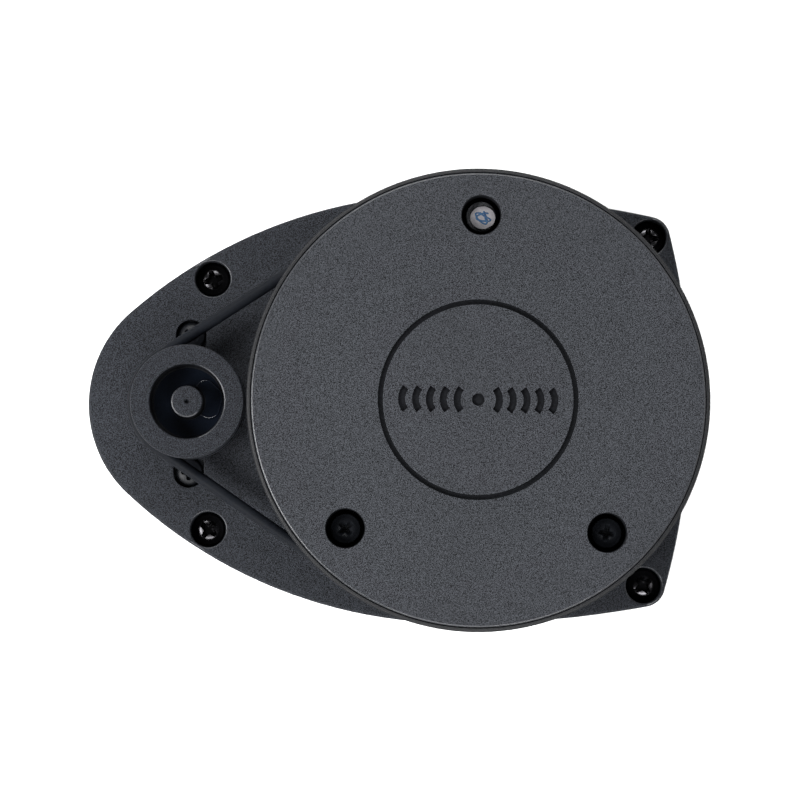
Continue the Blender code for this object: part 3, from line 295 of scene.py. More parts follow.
# Near-black fill: the emblem's own colour, and painted shade in the head's wells, the rim's groove and
# outer flank, and the pulley recess's walls.
MARK_AND_SHADE_FILL = speckled("mark_and_painted_shade_fill", grey(0.003, 0.3), grey(0.007, 0.3), 2600, 0.7, specular=0.05)
BLACK_OXIDE = metal("black_oxide", (0.043, 0.042, 0.045), 0.20, mark=0.3, bump=0.05)
DULL_BLACK = smooth_plastic("dull_black", 0.0050, roughness=0.45, tint=0.5, specular=0.18)
# A light grey coat for one black cover screw: a painted highlight on its lit head.
SCREW_HIGHLIGHT_GREY = textured_plastic("screw_painted_highlight", 0.150, speckle=0.5, specular=0.30)
ZINC = metal("zinc_plate", (0.60, 0.61, 0.62), 0.30)
CAN_STEEL = metal("motor_can_steel", (0.36, 0.365, 0.375), 0.40, brush=(1.0, 1.0, 0.05))
BEARING_STEEL = metal("bearing_steel", (0.64, 0.65, 0.67), 0.18)
BRONZE = metal("sintered_bronze", (0.45, 0.30, 0.13), 0.42, mark=0.3, bump=0.4)
BRASS = metal("brass_pins", (0.72, 0.56, 0.26), 0.28)
COIL_COPPER = wound_copper("coil_copper", 9000.0)
ARMATURE_COPPER = metal("armature_copper", (0.60, 0.30, 0.13), 0.34, brush=(1.0, 1.0, 0.1),
                        bump=0.6)
RUBBER = rubber("belt_rubber")
BOARD = solder_mask("board_mask")
FERRITE = speckled("ferrite", grey(0.018), grey(0.042), 1500, 0.55, metallic=0.3)
CHIP = speckled("chip_epoxy", grey(0.010), grey(0.022), 2200, 0.48)
NYLON = speckled("nylon", (0.66, 0.63, 0.55), (0.76, 0.74, 0.68), 500, 0.42)
# Grey paper: the seal's white paper darkened with painted shade.
SHADED_PAPER = speckled("seal_paper", (0.080, 0.077, 0.084), (0.125, 0.120, 0.127), 1300, 0.70)
INK = speckled("blue_ink", (0.005, 0.020, 0.050), (0.014, 0.045, 0.090), 1200, 0.6, specular=0.2)
RED_VINYL = speckled("red_vinyl", (0.36, 0.008, 0.006), (0.50, 0.02, 0.015), 700, 0.42)
BLACK_VINYL = speckled("black_vinyl", grey(0.008), grey(0.016), 700, 0.42)
SOLDER = metal("solder", (0.66, 0.66, 0.67), 0.30, mark=0.2, bump=0.3)
CERAMIC = speckled("ceramic", (0.30, 0.20, 0.11), (0.42, 0.29, 0.17), 1500, 0.5)
LENS_GLASS = coated_glass("lens_glass", (0.03, 0.05, 0.14))
DARK_LENS = coated_glass("dark_lens", (0.03, 0.006, 0.010))


# ----- mesh tools

def add_object(name, data):
    obj = bpy.data.objects.new(name, data)
    bpy.context.scene.collection.objects.link(obj)
    return obj


def rounded(points, closed):
    """An outline with its corners rounded: a point may carry a radius after its position."""
    made = []
    count = len(points)
    for i, point in enumerate(points):
        here = Vector(point[:2])
        radius = point[2] if len(point) > 2 else 0
        if radius == 0 or not closed and i in (0, count - 1):
            made.append(here)
            continue
        before = Vector(points[i - 1][:2]) - here
        after = Vector(points[(i + 1) % count][:2]) - here
        angle = before.angle(after)
        turn = math.pi - angle
        reach = min(radius / math.tan(angle / 2), before.length * 0.49, after.length * 0.49)
        radius = reach * math.tan(angle / 2)
        before.normalize()
        after.normalize()
        centre = here + (before + after).normalized() * radius / math.sin(angle / 2)
        first = here + before * reach - centre
        last = here + after * reach - centre
        steps = max(2, math.ceil(turn / ARC_STEP - 0.01))
        for k in range(steps + 1):
            t = k / steps
            spoke = first * math.sin((1 - t) * turn) + last * math.sin(t * turn)
            made.append(centre + spoke / math.sin(turn))
    return made


def mesh_from(name, vertices, faces):
    mesh = bpy.data.meshes.new(name)
    mesh.from_pydata(vertices, [], faces)
    work = bmesh.new()
    work.from_mesh(mesh)
    bmesh.ops.remove_doubles(work, verts=work.verts, dist=0.0005)
    bmesh.ops.recalc_face_normals(work, faces=work.faces)
    if work.calc_volume(signed=True) < 0:
        bmesh.ops.reverse_faces(work, faces=work.faces)
    work.to_mesh(mesh)
    work.free()
    return mesh


def strips(rings, closed):
    """The faces between each ring of vertex numbers and the next one."""
    faces = []
    following = rings[1:] + rings[:1] if closed else rings[1:]
    for upper, lower in zip(rings, following):
        for k in range(len(upper)):
            turn = (k + 1) % len(upper)
            face = list(dict.fromkeys([upper[k], upper[turn], lower[turn], lower[k]]))
            if len(face) > 2:
                faces.append(face)
    return faces


def lathe(name, profile, steps, x=0.0, y=0.0):
    """A solid of revolution around a vertical axis, from a profile of (radius, z[, fillet]).

    The profile is a loop, unless it starts and ends on the axis.
    """
    on_axis = profile[0][0] == 0
    points = rounded(profile, closed=not on_axis)
    vertices = []
    rings = []
    for r, z in points:
        if r < 1e-6:
            rings.append([len(vertices)] * steps)
            vertices.append((x, y, z))
            continue
        rings.append(list(range(len(vertices), len(vertices) + steps)))
        for k in range(steps):
            angle = math.tau * (k + PHASE) / steps
            vertices.append((x + r * math.cos(angle), y + r * math.sin(angle), z))
    return mesh_from(name, vertices, strips(rings, closed=not on_axis))


def loft(name, levels):
    """A closed solid through outlines of equal length: levels is [(outline, z), ...]."""
    count = len(levels[0][0])
    vertices = [(p[0], p[1], z) for outline, z in levels for p in outline]
    rings = [list(range(i * count, (i + 1) * count)) for i in range(len(levels))]
    return mesh_from(name, vertices, [rings[0], *strips(rings, closed=False), rings[-1]])


def block(name, low, high, corner=0.3, edge=0.15):
    """A box with rounded upright corners and softened rims."""
    def outline(inset):
        left, front = low[0] + inset, low[1] + inset
        right, back = high[0] - inset, high[1] - inset
        return rounded([(left, front, corner), (right, front, corner), (right, back, corner),
                        (left, back, corner)], closed=True)

    return loft(name, [(outline(edge), low[2]), (outline(0), low[2] + edge),
                       (outline(0), high[2] - edge), (outline(edge), high[2])])


def joined(name, meshes):
    """One mesh that holds several closed shells."""
    work = bmesh.new()
    for mesh in meshes:
        work.from_mesh(mesh)
    made = bpy.data.meshes.new(name)
    work.to_mesh(made)
    work.free()
    return made


def turned_along_y(mesh, x, z):
    """A mesh made around the vertical axis, laid along +Y through (x, z)."""
    mesh.transform(Matrix.Translation((x, 0, z)) @ Matrix.Rotation(-math.pi / 2, 4, "X"))
    return mesh


def reshape(mesh, steps, material=None):
    """Cut and join a mesh: steps is [(tool mesh, "DIFFERENCE" or "UNION"), ...].

    If the mesh is given a material here, the tools pass on theirs to the faces they make.
    """
    if material:
        mesh.materials.append(material)
    holder = add_object("work", mesh)
    tools = []
    for number, (tool_mesh, operation) in enumerate(steps):
        tool = add_object(f"tool_{number}", tool_mesh)
        modifier = holder.modifiers.new(tool.name, "BOOLEAN")
        modifier.operation = operation
        modifier.object = tool
        modifier.solver = "EXACT"
        if material:
            modifier.material_mode = "TRANSFER"
        tools.append(tool)
    graph = bpy.context.evaluated_depsgraph_get()
    made = bpy.data.meshes.new_from_object(holder.evaluated_get(graph))
    made.name = mesh.name
    for obj in [holder, *tools]:
        bpy.data.objects.remove(obj)
    return made


def cut(*tools):
    """The steps of reshape that take tools away."""
    return [(tool, "DIFFERENCE") for tool in tools]


def recoat(mesh, material, centre, radii, heights, where=lambda at: True):
    """Give a material to the faces in a band around an upright axis: two radii, two heights."""
    if material.name not in mesh.materials:
        mesh.materials.append(material)
    index = mesh.materials.find(material.name)
    for face in mesh.polygons:
        at = face.center
        reach = math.hypot(at.x - centre[0], at.y - centre[1])
        if radii[0] < reach < radii[1] and heights[0] < at.z < heights[1] and where(at):
            face.material_index = index


def attach(obj, body, replaces):
    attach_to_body(obj, body)
    if replaces:
        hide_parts(*replaces)


def piece(name, mesh, material, body, replaces=(), sharp=38):
    """Put a finished mesh in the scene, in metres, riding on its body.

    The material is None for a mesh that has its materials already.
    """
    if material:
        mesh.materials.append(material)
    mesh.transform(Matrix.Scale(MM, 4))
    mesh.shade_smooth()
    mesh.set_sharp_from_angle(angle=math.radians(sharp))
    obj = add_object(name, mesh)
    obj.modifiers.new("normals", "WEIGHTED_NORMAL").keep_sharp = True
    attach(obj, body, replaces)


def stand_in(node, mesh, material, body, sharp=38):
    """Show a finished mesh in place of a CAD node."""
    piece(node + "_fine", mesh, material, body, [node], sharp)


def tube(name, path, radius, material, body, replaces=()):
    """A round wire along a path, with capped ends."""
    curve = bpy.data.curves.new(name, "CURVE")
    curve.dimensions = "3D"
    curve.bevel_depth = radius * MM
    curve.bevel_resolution = 4
    curve.resolution_u = 6
    curve.use_fill_caps = True
    spline = curve.splines.new("NURBS")
    spline.points.add(len(path) - 1)
    for point, spot in zip(spline.points, path):
        point.co = (*(Vector(spot) * MM), 1)
    spline.order_u = 3
    spline.use_endpoint_u = True
    curve.materials.append(material)
    attach(add_object(name, curve), body, replaces)


def arc(centre, radius, start, end, step=3.0):
    """Points on an arc, its angles in degrees, at most step degrees apart."""
    count = max(2, math.ceil(abs(end - start) / step) + 1)
    points = []
    for i in range(count):
        angle = math.radians(start + (end - start) * i / (count - 1))
        points.append((centre[0] + radius * math.cos(angle), centre[1] + radius * math.sin(angle)))
    return points


def square(half):
    """The corners of a square around the origin."""
    return [(-half, -half), (half, -half), (half, half), (-half, half)]


def well_tool(radius, floor, top, x, y, lip=0.14):
    """A cutter for a round well whose mouth is softened."""
    return lathe("well", [(0, top + 0.6), (radius + 0.7, top + 0.6), (radius + 0.7, top + 0.02),
                          (radius, top, lip), (radius, floor, 0.2), (0, floor)], ROUND, x, y)


def hole_tool(radius, low, high, x, y, steps=SMALL):
    return lathe("hole", [(0, high), (radius, high), (radius, low), (0, low)], steps, x, y)


# ----- screws

def cross_outline(reach, width, soft):
    """A cross with rounded inner and outer corners."""
    half = width / 2
    corners = []
    for quarter in range(4):
        turn = Matrix.Rotation(math.pi / 2 * quarter, 2)
        for x, y, radius in ((reach, -half, soft), (reach, half, soft), (half, half, soft)):
            spot = turn @ Vector((x, y))
            corners.append((spot.x, spot.y, radius))
    return rounded(corners, closed=True)


def pan_screw(radius, height, shank, length):
    """A pan head screw with a tapered cross recess, its head's underside at z = 0."""
    # The top is a shallow dome that rolls over into the upright edge.
    edge = radius * 0.86
    sphere = edge / math.sin(math.radians(32))
    head = [(0, height)]
    for degrees in range(4, 33, 4):
        angle = math.radians(degrees)
        head.append((sphere * math.sin(angle), height - sphere * (1 - math.cos(angle))))
    head += [(radius, head[-1][1] - 0.12, 0.25), (radius, height * 0.12, 0.1), (shank, 0, 0.1),
             (shank, -length + 0.4), (shank * 0.6, -length), (0, -length)]
    body = lathe("screw", head, 64)
    soft = radius * 0.13
    mouth = cross_outline(radius * 0.70, radius * 0.44, soft)
    lip = cross_outline(radius * 0.62, radius * 0.33, soft)
    floor = cross_outline(radius * 0.30, radius * 0.20, soft * 0.5)
    return reshape(body, cut(loft("recess", [(floor, height * 0.15), (lip, height * 0.84),
                                             (mouth, height + 0.02), (mouth, height + 0.5)])))


def place_screws(names, mesh, base_z, material, body="root", flip=False,
                 twist=17.0):
    """Copies of one screw in place of CAD screws, each turned a little differently."""
    for number, name in enumerate(names):
        centre = node_centre(name)
        copy = mesh.copy()
        turn = Matrix.Rotation(math.radians(twist + 37 * number), 4, "Z")
        over = Matrix.Rotation(math.pi if flip else 0, 4, "X")
        copy.transform(Matrix.Translation((centre.x, centre.y, base_z)) @ over @ turn)
        stand_in(name, copy, material, body, sharp=42)


# ----- base plate

NOSE_RADIUS = 19.4
CORNER_RADIUS = 3.4
WAIST = (-4.0, 34.1)
END_X = 33.9
PLATE_TOP = 22.0
SKIN_BOTTOM = 19.0
SKIRT_BOTTOM = 16.0
SKIRT_WALL = 1.6
SKIRT_CHAMFER = 0.25
RIM_SOFTENING = 0.45
WELL_RADIUS = 2.8
SCREW_HOLE = 1.55         # radius of the clearance around an M2.5 shank
MOTOR_SCREW_Y = 10.9
LEGS = ("motor_left", "motor_right", "head_left", "head_right")
BOARD_SCREWS = ["board_screw_" + name for name in LEGS]


def plate_outline(inset=0.0):
    """The teardrop outline: tangent arcs from the nose to the waist, corners and end."""
    nose = (place_of("leg_motor_left")[0] - SCAN_X, 0.0)
    corner = Vector(place_of("leg_head_left")) - Vector((SCAN_X, 0))

    def arc_radius(run, drop, radius):
        """The arc that is level at the waist and tangent to a round end."""
        return (run ** 2 + drop ** 2 - radius ** 2) / (2 * (drop - radius))

    front = arc_radius(WAIST[0] - nose[0], WAIST[1], NOSE_RADIUS)
    rear = arc_radius(corner.x - WAIST[0], WAIST[1] - corner.y, CORNER_RADIUS)
    end = arc_radius(corner.y, END_X - corner.x, CORNER_RADIUS)
    front_centre = (WAIST[0], WAIST[1] - front)
    rear_centre = (WAIST[0], WAIST[1] - rear)
    end_centre = (END_X - end, 0.0)

    def heading(a, b):
        return math.degrees(math.atan2(b[1] - a[1], b[0] - a[0]))

    nose_join = heading(front_centre, nose)
    corner_in = heading(rear_centre, corner)
    corner_out = heading(end_centre, corner)
    half = arc(nose, NOSE_RADIUS - inset, 180, nose_join)
    half += arc(front_centre, front - inset, nose_join, 90, 2)[1:]
    half += arc(rear_centre, rear - inset, 90, corner_in, 1)[1:]
    half += arc(corner, CORNER_RADIUS - inset, corner_in, corner_out, 8)[1:]
    half += arc(end_centre, end - inset, corner_out, 0, 1)[1:]
    mirrored = [(x, -y) for x, y in reversed(half[1:-1])]
    return [(x + SCAN_X, y) for x, y in half + mirrored]


def make_base_plate():
    levels = [(plate_outline(SKIRT_CHAMFER), SKIRT_BOTTOM),
              (plate_outline(), SKIRT_BOTTOM + SKIRT_CHAMFER)]
    for degrees in range(0, 91, 15):
        angle = math.radians(degrees)
        levels.append((plate_outline(RIM_SOFTENING * (1 - math.cos(angle))),
                       PLATE_TOP - RIM_SOFTENING * (1 - math.sin(angle))))
    plate = loft("base_plate_shell", levels)

    wells = [place_of("leg_" + name) for name in LEGS]
    board_screws = [place_of(name) for name in BOARD_SCREWS]
    hollow = loft("hollow", [(plate_outline(SKIRT_WALL), SKIRT_BOTTOM - 1),
                             (plate_outline(SKIRT_WALL), SKIN_BOTTOM)])
    bosses = [hole_tool(radius, SKIRT_BOTTOM - 2, SKIN_BOTTOM + 1, *spot)
              for radius, spots in ((4.4, wells), (2.7, board_screws)) for spot in spots]
    hub = lathe("hub", [(8.2, 30.6, 0.3), (8.2, 30.2), (7.3, 30.2), (7.3, 29.0), (8.2, 29.0),
                        (8.2, 23.7), (9.6, 23.7, 0.1), (9.6, 21.0), (5.5, 21.0), (5.5, 30.6, 0.3)],
                ROUND, SCAN_X)
    pocket = lathe("pocket", [(21.1, 24), (21.1, 20.3), (15.9, 20.3), (15.9, 24)], ROUND, SCAN_X)
    steps = cut(reshape(hollow, cut(*bosses)), hole_tool(6.2, 15, 23, SCAN_X, 0, ROUND))
    steps += [(hub, "UNION"), *cut(pocket)]
    for spot in wells:
        steps += cut(well_tool(WELL_RADIUS, 18.6, PLATE_TOP, *spot, lip=0.32),
                     hole_tool(SCREW_HOLE, 15, 19, *spot))
    for spot in board_screws:
        steps += cut(hole_tool(1.3, 15, 18.5, *spot, 24))

    # The slot under the pulley, its mouth softened like the wells'.
    def slot(grow, z):
        left = arc((MOTOR_X, MOTOR_SCREW_Y), 2.4 + grow, 0, 180, 8)
        right = arc((MOTOR_X, -MOTOR_SCREW_Y), 2.4 + grow, 180, 360, 8)
        return left + right, z

    steps += cut(loft("slot", [slot(0, 20), slot(0, PLATE_TOP - 0.2), slot(0.06, PLATE_TOP - 0.06),
                               slot(0.2, PLATE_TOP + 0.01), slot(0.2, PLATE_TOP + 1)]))
    for side in (1, -1):
        steps += cut(hole_tool(SCREW_HOLE, 18, 21, MOTOR_X, side * MOTOR_SCREW_Y))
    steps += cut(hole_tool(2.2, 18, 21, MOTOR_X, 0))
    mesh = reshape(plate, steps)
    mesh.materials.append(PLATE_PLASTIC)
    # The mouths of the screw wells get a lighter, shinier coat: a painted highlight.
    for spot in wells:
        recoat(mesh, HIGHLIGHT_EDGE_PLASTIC, spot, (WELL_RADIUS - 0.1, WELL_RADIUS + 0.35),
               (PLATE_TOP - 0.34, PLATE_TOP - 0.01))
    stand_in("base_plate", mesh, None, "root")


def make_legs():
    for name in LEGS:
        top = node_box("leg_" + name)[1].z
        mesh = lathe("leg", [(0, 7.2), (1.55, 7.2), (1.55, top, 0.1), (3.2, top, 0.2),
                             (3.2, 0, 0.35), (1.5, 0, 0.05), (1.25, 0.3), (1.25, 6.0), (0, 6.0)],
                     ROUND, *place_of("leg_" + name))
        stand_in("leg_" + name, mesh, LEG_PLASTIC, "root")


# ----- belt drive

BELT_Z = 27.0
BELT_RADIUS = 0.9
HEAD_PITCH = 34.0
PULLEY_PITCH = 8.7
PULLEY_RADIUS = 8.95
PULLEY_TOP = 31.0
RECESS_RADIUS = 5.85
RECESS_FLOOR = 26.4
HUB_RADIUS = 2.5
HUB_TOP = 30.8


def make_belt():
    """A smooth round belt, a hair lumpy where its ends were fused."""
    lean = math.degrees(math.asin((HEAD_PITCH - PULLEY_PITCH) / (SCAN_X - MOTOR_X)))
    touch = 90 + lean
    route = arc((SCAN_X, 0), HEAD_PITCH, -touch, touch, 1.5)
    wrap = arc((MOTOR_X, 0), PULLEY_PITCH, touch, 360 - touch, 4)

    def straight(start, end, count=24):
        return [Vector(start).lerp(Vector(end), i / count) for i in range(1, count)]

    path = [Vector(p) for p in route] + straight(route[-1], wrap[0])
    path += [Vector(p) for p in wrap] + straight(wrap[-1], route[0])
    seam = Vector(wrap[-1]).lerp(Vector(route[0]), 0.62)
    sides = 20
    count = len(path)
    vertices = []
    for i, spot in enumerate(path):
        along = (path[(i + 1) % count] - path[i - 1]).normalized()
        out = Vector((along.y, -along.x))
        swell = 1 + 0.05 * math.exp(-((spot - seam).length / 0.7) ** 2)
        for k in range(sides):
            angle = math.tau * k / sides
            reach = BELT_RADIUS * swell * math.cos(angle)
            vertices.append((spot.x + out.x * reach, spot.y + out.y * reach,
                             BELT_Z + BELT_RADIUS * swell * math.sin(angle)))
    rings = [list(range(i * sides, (i + 1) * sides)) for i in range(count)]
    mesh = mesh_from("belt", vertices, strips(rings, closed=True))
    stand_in("drive_belt", mesh, RUBBER, "root", sharp=60)


def groove(pitch, start, end):
    """The profile of a round groove that leaves 0.3 around the belt."""
    return arc((pitch, BELT_Z), BELT_RADIUS + 0.3, start, end, 10)


def make_pulley():
    profile = [(0, 30.2), (0.16, 30.2), (0.34, 30.4), (0.38, HUB_TOP, 0.1),
               (HUB_RADIUS, HUB_TOP, 0.25), (HUB_RADIUS, RECESS_FLOOR, 0.3),
               (RECESS_RADIUS, RECESS_FLOOR, 0.5), (RECESS_RADIUS, PULLEY_TOP, 0.24),
               (PULLEY_RADIUS, PULLEY_TOP, 0.22), (PULLEY_RADIUS, 28.7, 0.2)]
    profile += groove(PULLEY_PITCH, 115, 245)
    profile += [(PULLEY_RADIUS, 25.3, 0.2), (PULLEY_RADIUS, 23.6, 0.3), (1.3, 23.6), (1.3, 29.8),
                (0, 29.8)]
    mesh = lathe("pulley", profile, 160, MOTOR_X)
    mesh.materials.append(PULLEY_PLASTIC)
    # The recess has a polished floor and dull walls painted near-black as shade, and shinier coats on
    # one side of its edges are painted highlights.
    axis = (MOTOR_X, 0)
    edges = (30.5, PULLEY_TOP - 0.01)
    recoat(mesh, GLOSS_BLACK, axis, (HUB_RADIUS, 5.4), (RECESS_FLOOR - 0.4, RECESS_FLOOR + 0.2))
    recoat(mesh, MARK_AND_SHADE_FILL, axis, (HUB_RADIUS - 0.05, RECESS_RADIUS + 0.02),
           (RECESS_FLOOR + 0.01, HUB_TOP - 0.08))
    # Painted highlight on the hub's lower-left edge only.
    recoat(mesh, HIGHLIGHT_EDGE_PLASTIC, axis, (HUB_RADIUS - 0.3, HUB_RADIUS + 0.02), edges,
           lambda at: at.x + at.y < MOTOR_X)
    # Painted highlight on the right side of the recess mouth only.
    recoat(mesh, HIGHLIGHT_EDGE_PLASTIC, axis, (RECESS_RADIUS - 0.01, RECESS_RADIUS + 0.25), edges,
           lambda at: at.x > MOTOR_X + 2)
    stand_in("motor_pulley", mesh, None, "motor_rotor")
    # A thread of varnish that ran out from the hub, round the recess and back.
    rng = random.Random(3)
    count = 90
    bead = []
    for i in range(count):
        t = i / (count - 1)
        angle = math.radians(64 - 107 * t)
        out = 2.8 + 2.5 * math.sin(math.pi * t) ** 0.4 if 0 < i < count - 1 else 2.8
        out += (0.10 + 0.05 * rng.random()) * math.sin(17 * t)
        bead.append((MOTOR_X + out * math.cos(angle), out * math.sin(angle), RECESS_FLOOR + 0.02))
    tube("pulley_varnish", bead, 0.14, VARNISH, "motor_rotor")
    # The shaft, with its ground end.
    shaft = lathe("shaft", [(0, 29.5), (1.0, 29.5, 0.2), (1.0, 4.9, 0.2), (0, 4.9)], SMALL, MOTOR_X)
    stand_in("motor_shaft", shaft, BEARING_STEEL, "motor_rotor")


# ----- scanner head

HEAD_TOP = 55.0
HEAD_RADIUS = 35.15
RING = (14.42, 15.18)     # radii of the engraved ring's mouth
RING_FLOOR = 54.45
GROOVE = (34.42, 34.57)   # radii of the mouth of the groove in the rim
GROOVE_FLOOR = 54.40
LIP_RADIUS = 34.95        # the rim's lip reaches from the groove to here
COVER_SCREWS = ("cover_screw_1", "cover_screw_2", "cover_screw_3")
EMBLEM_DEPTH = 0.5
EMBLEM_STROKE = 1.05
EMBLEM_BEND = 2.7         # radius of each wave of the mark
EMBLEM_SPAN = 39          # half of its angle, in degrees
EMBLEM_REACH = (3.2, 5.3, 7.4, 9.5, 11.6)
OPTICS_Z = 42.0
LASER_X = SCAN_X - 14.0
RECEIVER_X = SCAN_X + 13.5


def emblem_tools():
    """A plain signal mark across the middle: a dot with waves running out on both sides."""
    floor = HEAD_TOP - EMBLEM_DEPTH
    above = HEAD_TOP + 1
    tools = [lathe("dot", [(0, above), (0.95, above), (0.95, floor), (0, floor)], SMALL, SCAN_X)]
    half = EMBLEM_STROKE / 2
    for reach in EMBLEM_REACH:
        for side, middle in ((1, 0), (-1, 180)):
            centre = (SCAN_X + side * (reach - EMBLEM_BEND), 0)
            outer = arc(centre, EMBLEM_BEND + half, middle - EMBLEM_SPAN, middle + EMBLEM_SPAN)
            inner = arc(centre, EMBLEM_BEND - half, middle + EMBLEM_SPAN, middle - EMBLEM_SPAN)
            tools.append(loft("wave", [(outer + inner, floor), (outer + inner, above)]))
    for tool in tools:
        tool.materials.append(MARK_AND_SHADE_FILL)
    return tools


def sight_cutters(name, laser_radius, receiver_radius, start, end):
    """Round cutters along the two lines of sight."""
    sights = ((LASER_X, laser_radius), (RECEIVER_X, receiver_radius))
    return [turned_along_y(lathe(name, [(0, end), (radius, end), (radius, start), (0, start)], ROUND),
                           x, OPTICS_Z) for x, radius in sights]


def make_top_cover():
    cover = lathe("top_cover_shell", [
        (0, HEAD_TOP), (RING[0], HEAD_TOP, 0.08), (RING[0] + 0.08, RING_FLOOR),
        (RING[1] - 0.08, RING_FLOOR), (RING[1], HEAD_TOP, 0.08),
        (GROOVE[0], HEAD_TOP, 0.48), (GROOVE[0], GROOVE_FLOOR, 0.02),
        (GROOVE[1] - 0.02, GROOVE_FLOOR, 0.02), (GROOVE[1], 54.78, 0.06),
        (LIP_RADIUS, 54.70, 0.10), (HEAD_RADIUS, 54.15, 0.15), (HEAD_RADIUS, 31.3, 0.3),
        (33.55, 31.3, 0.1), (33.55, 53.0, 0.8), (0, 53.0)], FINE, SCAN_X)
    steps = []
    for name in COVER_SCREWS:
        spot = place_of(name)
        steps += [(hole_tool(4.3, 47.0, 53.6, *spot, ROUND), "UNION"),
                  *cut(well_tool(2.95, 50.8, HEAD_TOP, *spot), hole_tool(SCREW_HOLE, 46, 52, *spot))]
    steps += cut(*sight_cutters("window", 4.5, 7.0, 22, 40))
    # The screw wells' walls and floors take the near-black fill: painted shade.
    for tool, _ in steps:
        tool.materials.append(MARK_AND_SHADE_FILL if tool.name.startswith("well") else HEAD_PLASTIC)
    mesh = reshape(cover, steps + cut(*emblem_tools()), HEAD_PLASTIC)

    # The engraved ring is filled black. The rim's groove and outer flank are painted black as shade,
    # the lip gets a darker plastic as painted shade, and the bevel inside the groove gets a shinier
    # coat as a painted highlight.
    axis = (SCAN_X, 0)
    recoat(mesh, MARK_AND_SHADE_FILL, axis, (RING[0] - 0.02, RING[1] + 0.02), (54.4, HEAD_TOP - 0.1))
    recoat(mesh, MARK_AND_SHADE_FILL, axis, (GROOVE[0] - 0.01, GROOVE[1] + 0.01), (54.3, 54.68))
    recoat(mesh, RIM_SHADE_PLASTIC, axis, (GROOVE[1] + 0.01, LIP_RADIUS + 0.02), (54.6, HEAD_TOP))
    recoat(mesh, MARK_AND_SHADE_FILL, axis, (LIP_RADIUS + 0.02, HEAD_RADIUS + 1), (54.0, HEAD_TOP))
    recoat(mesh, HIGHLIGHT_EDGE_PLASTIC, axis, (33.9, GROOVE[0] + 0.01), (54.50, HEAD_TOP - 0.002))
    stand_in("top_cover", mesh, None, "scanner_head")


def make_turret():
    profile = [(33.2, 33.0, 0.2), (33.2, 31.0), (35.0, 31.0, 0.25), (35.0, 28.5, 0.2)]
    profile += groove(HEAD_PITCH, 75, 285)
    profile += [(35.0, 25.5, 0.2), (35.0, 24.2, 0.3), (33.6, 23.3, 0.3), (25.6, 23.3), (25.6, 25.3),
                (23.4, 25.3), (23.4, 23.3), (12.0, 23.3), (12.0, 23.7), (13.3, 23.7),
                (13.3, 29.3), (15.2, 29.3, 0.2), (15.2, 24.8, 0.2), (21.9, 24.8, 0.2),
                (21.9, 26.8, 0.2), (29.6, 26.8, 0.3), (29.6, 30.9), (31.4, 30.9), (31.4, 33.0, 0.2)]
    turret = lathe("turret_shell", profile, FINE, SCAN_X)
    steps = []
    for name in COVER_SCREWS:
        spot = place_of(name)
        steps += [(hole_tool(3.0, 25.8, 46.7, *spot), "UNION"),
                  *cut(hole_tool(SCREW_HOLE, 37.7, 48, *spot, 24))]
    low, high = node_box("encoder_sensor")
    steps += cut(block("window", (low.x - 0.4, low.y - 0.4, 24.3),
                       (high.x + 0.4, high.y + 0.4, 28.5)))
    stand_in("turret_base", reshape(turret, steps), HEAD_PLASTIC, "scanner_head")


def make_seal():
    """A round paper seal, slightly dished over the screw head, with a pen mark on it."""
    low, high = node_box("seal_label")
    centre = (low + high) / 2
    radius = (high.x - low.x) / 2
    top = high.z
    disc = lathe("seal", [(0, top - 0.03), (1.2, top - 0.01), (radius, top, 0.03),
                          (radius, low.z, 0.03), (0, low.z)], ROUND, centre.x, centre.y)
    # Cut by hand, so a little flat on two sides.
    for vertex in disc.vertices:
        angle = math.atan2(vertex.co.y - centre.y, vertex.co.x - centre.x)
        trim = 1 - 0.09 * math.sin(angle) ** 2 - 0.04 * math.exp(-((angle + 1.0) / 0.25) ** 2)
        vertex.co.x = centre.x + (vertex.co.x - centre.x) * trim
        vertex.co.y = centre.y + (vertex.co.y - centre.y) * trim
    # The paper's grey is painted shade over white paper.
    stand_in("seal_label", disc, SHADED_PAPER, "scanner_head")

    # Two pen strokes, mostly sunk in the paper.
    count = 70
    for number, (phase, lean) in enumerate(((0.0, 0.35), (2.1, -0.6)), start=1):
        points = []
        for i in range(count):
            t = i / (count - 1)
            x = 1.15 * math.cos(9.4 * t + phase) * (1 - 0.5 * t) + 0.65 * t - 0.20
            y = 0.95 * math.sin(7.1 * t + phase + 0.5) * (0.6 + 0.4 * t)
            points.append((centre.x + x * math.cos(lean) - y * math.sin(lean),
                           centre.y + x * math.sin(lean) + y * math.cos(lean), top - 0.12))
        tube(f"seal_pen_mark_{number}", points, 0.17, INK, "scanner_head")


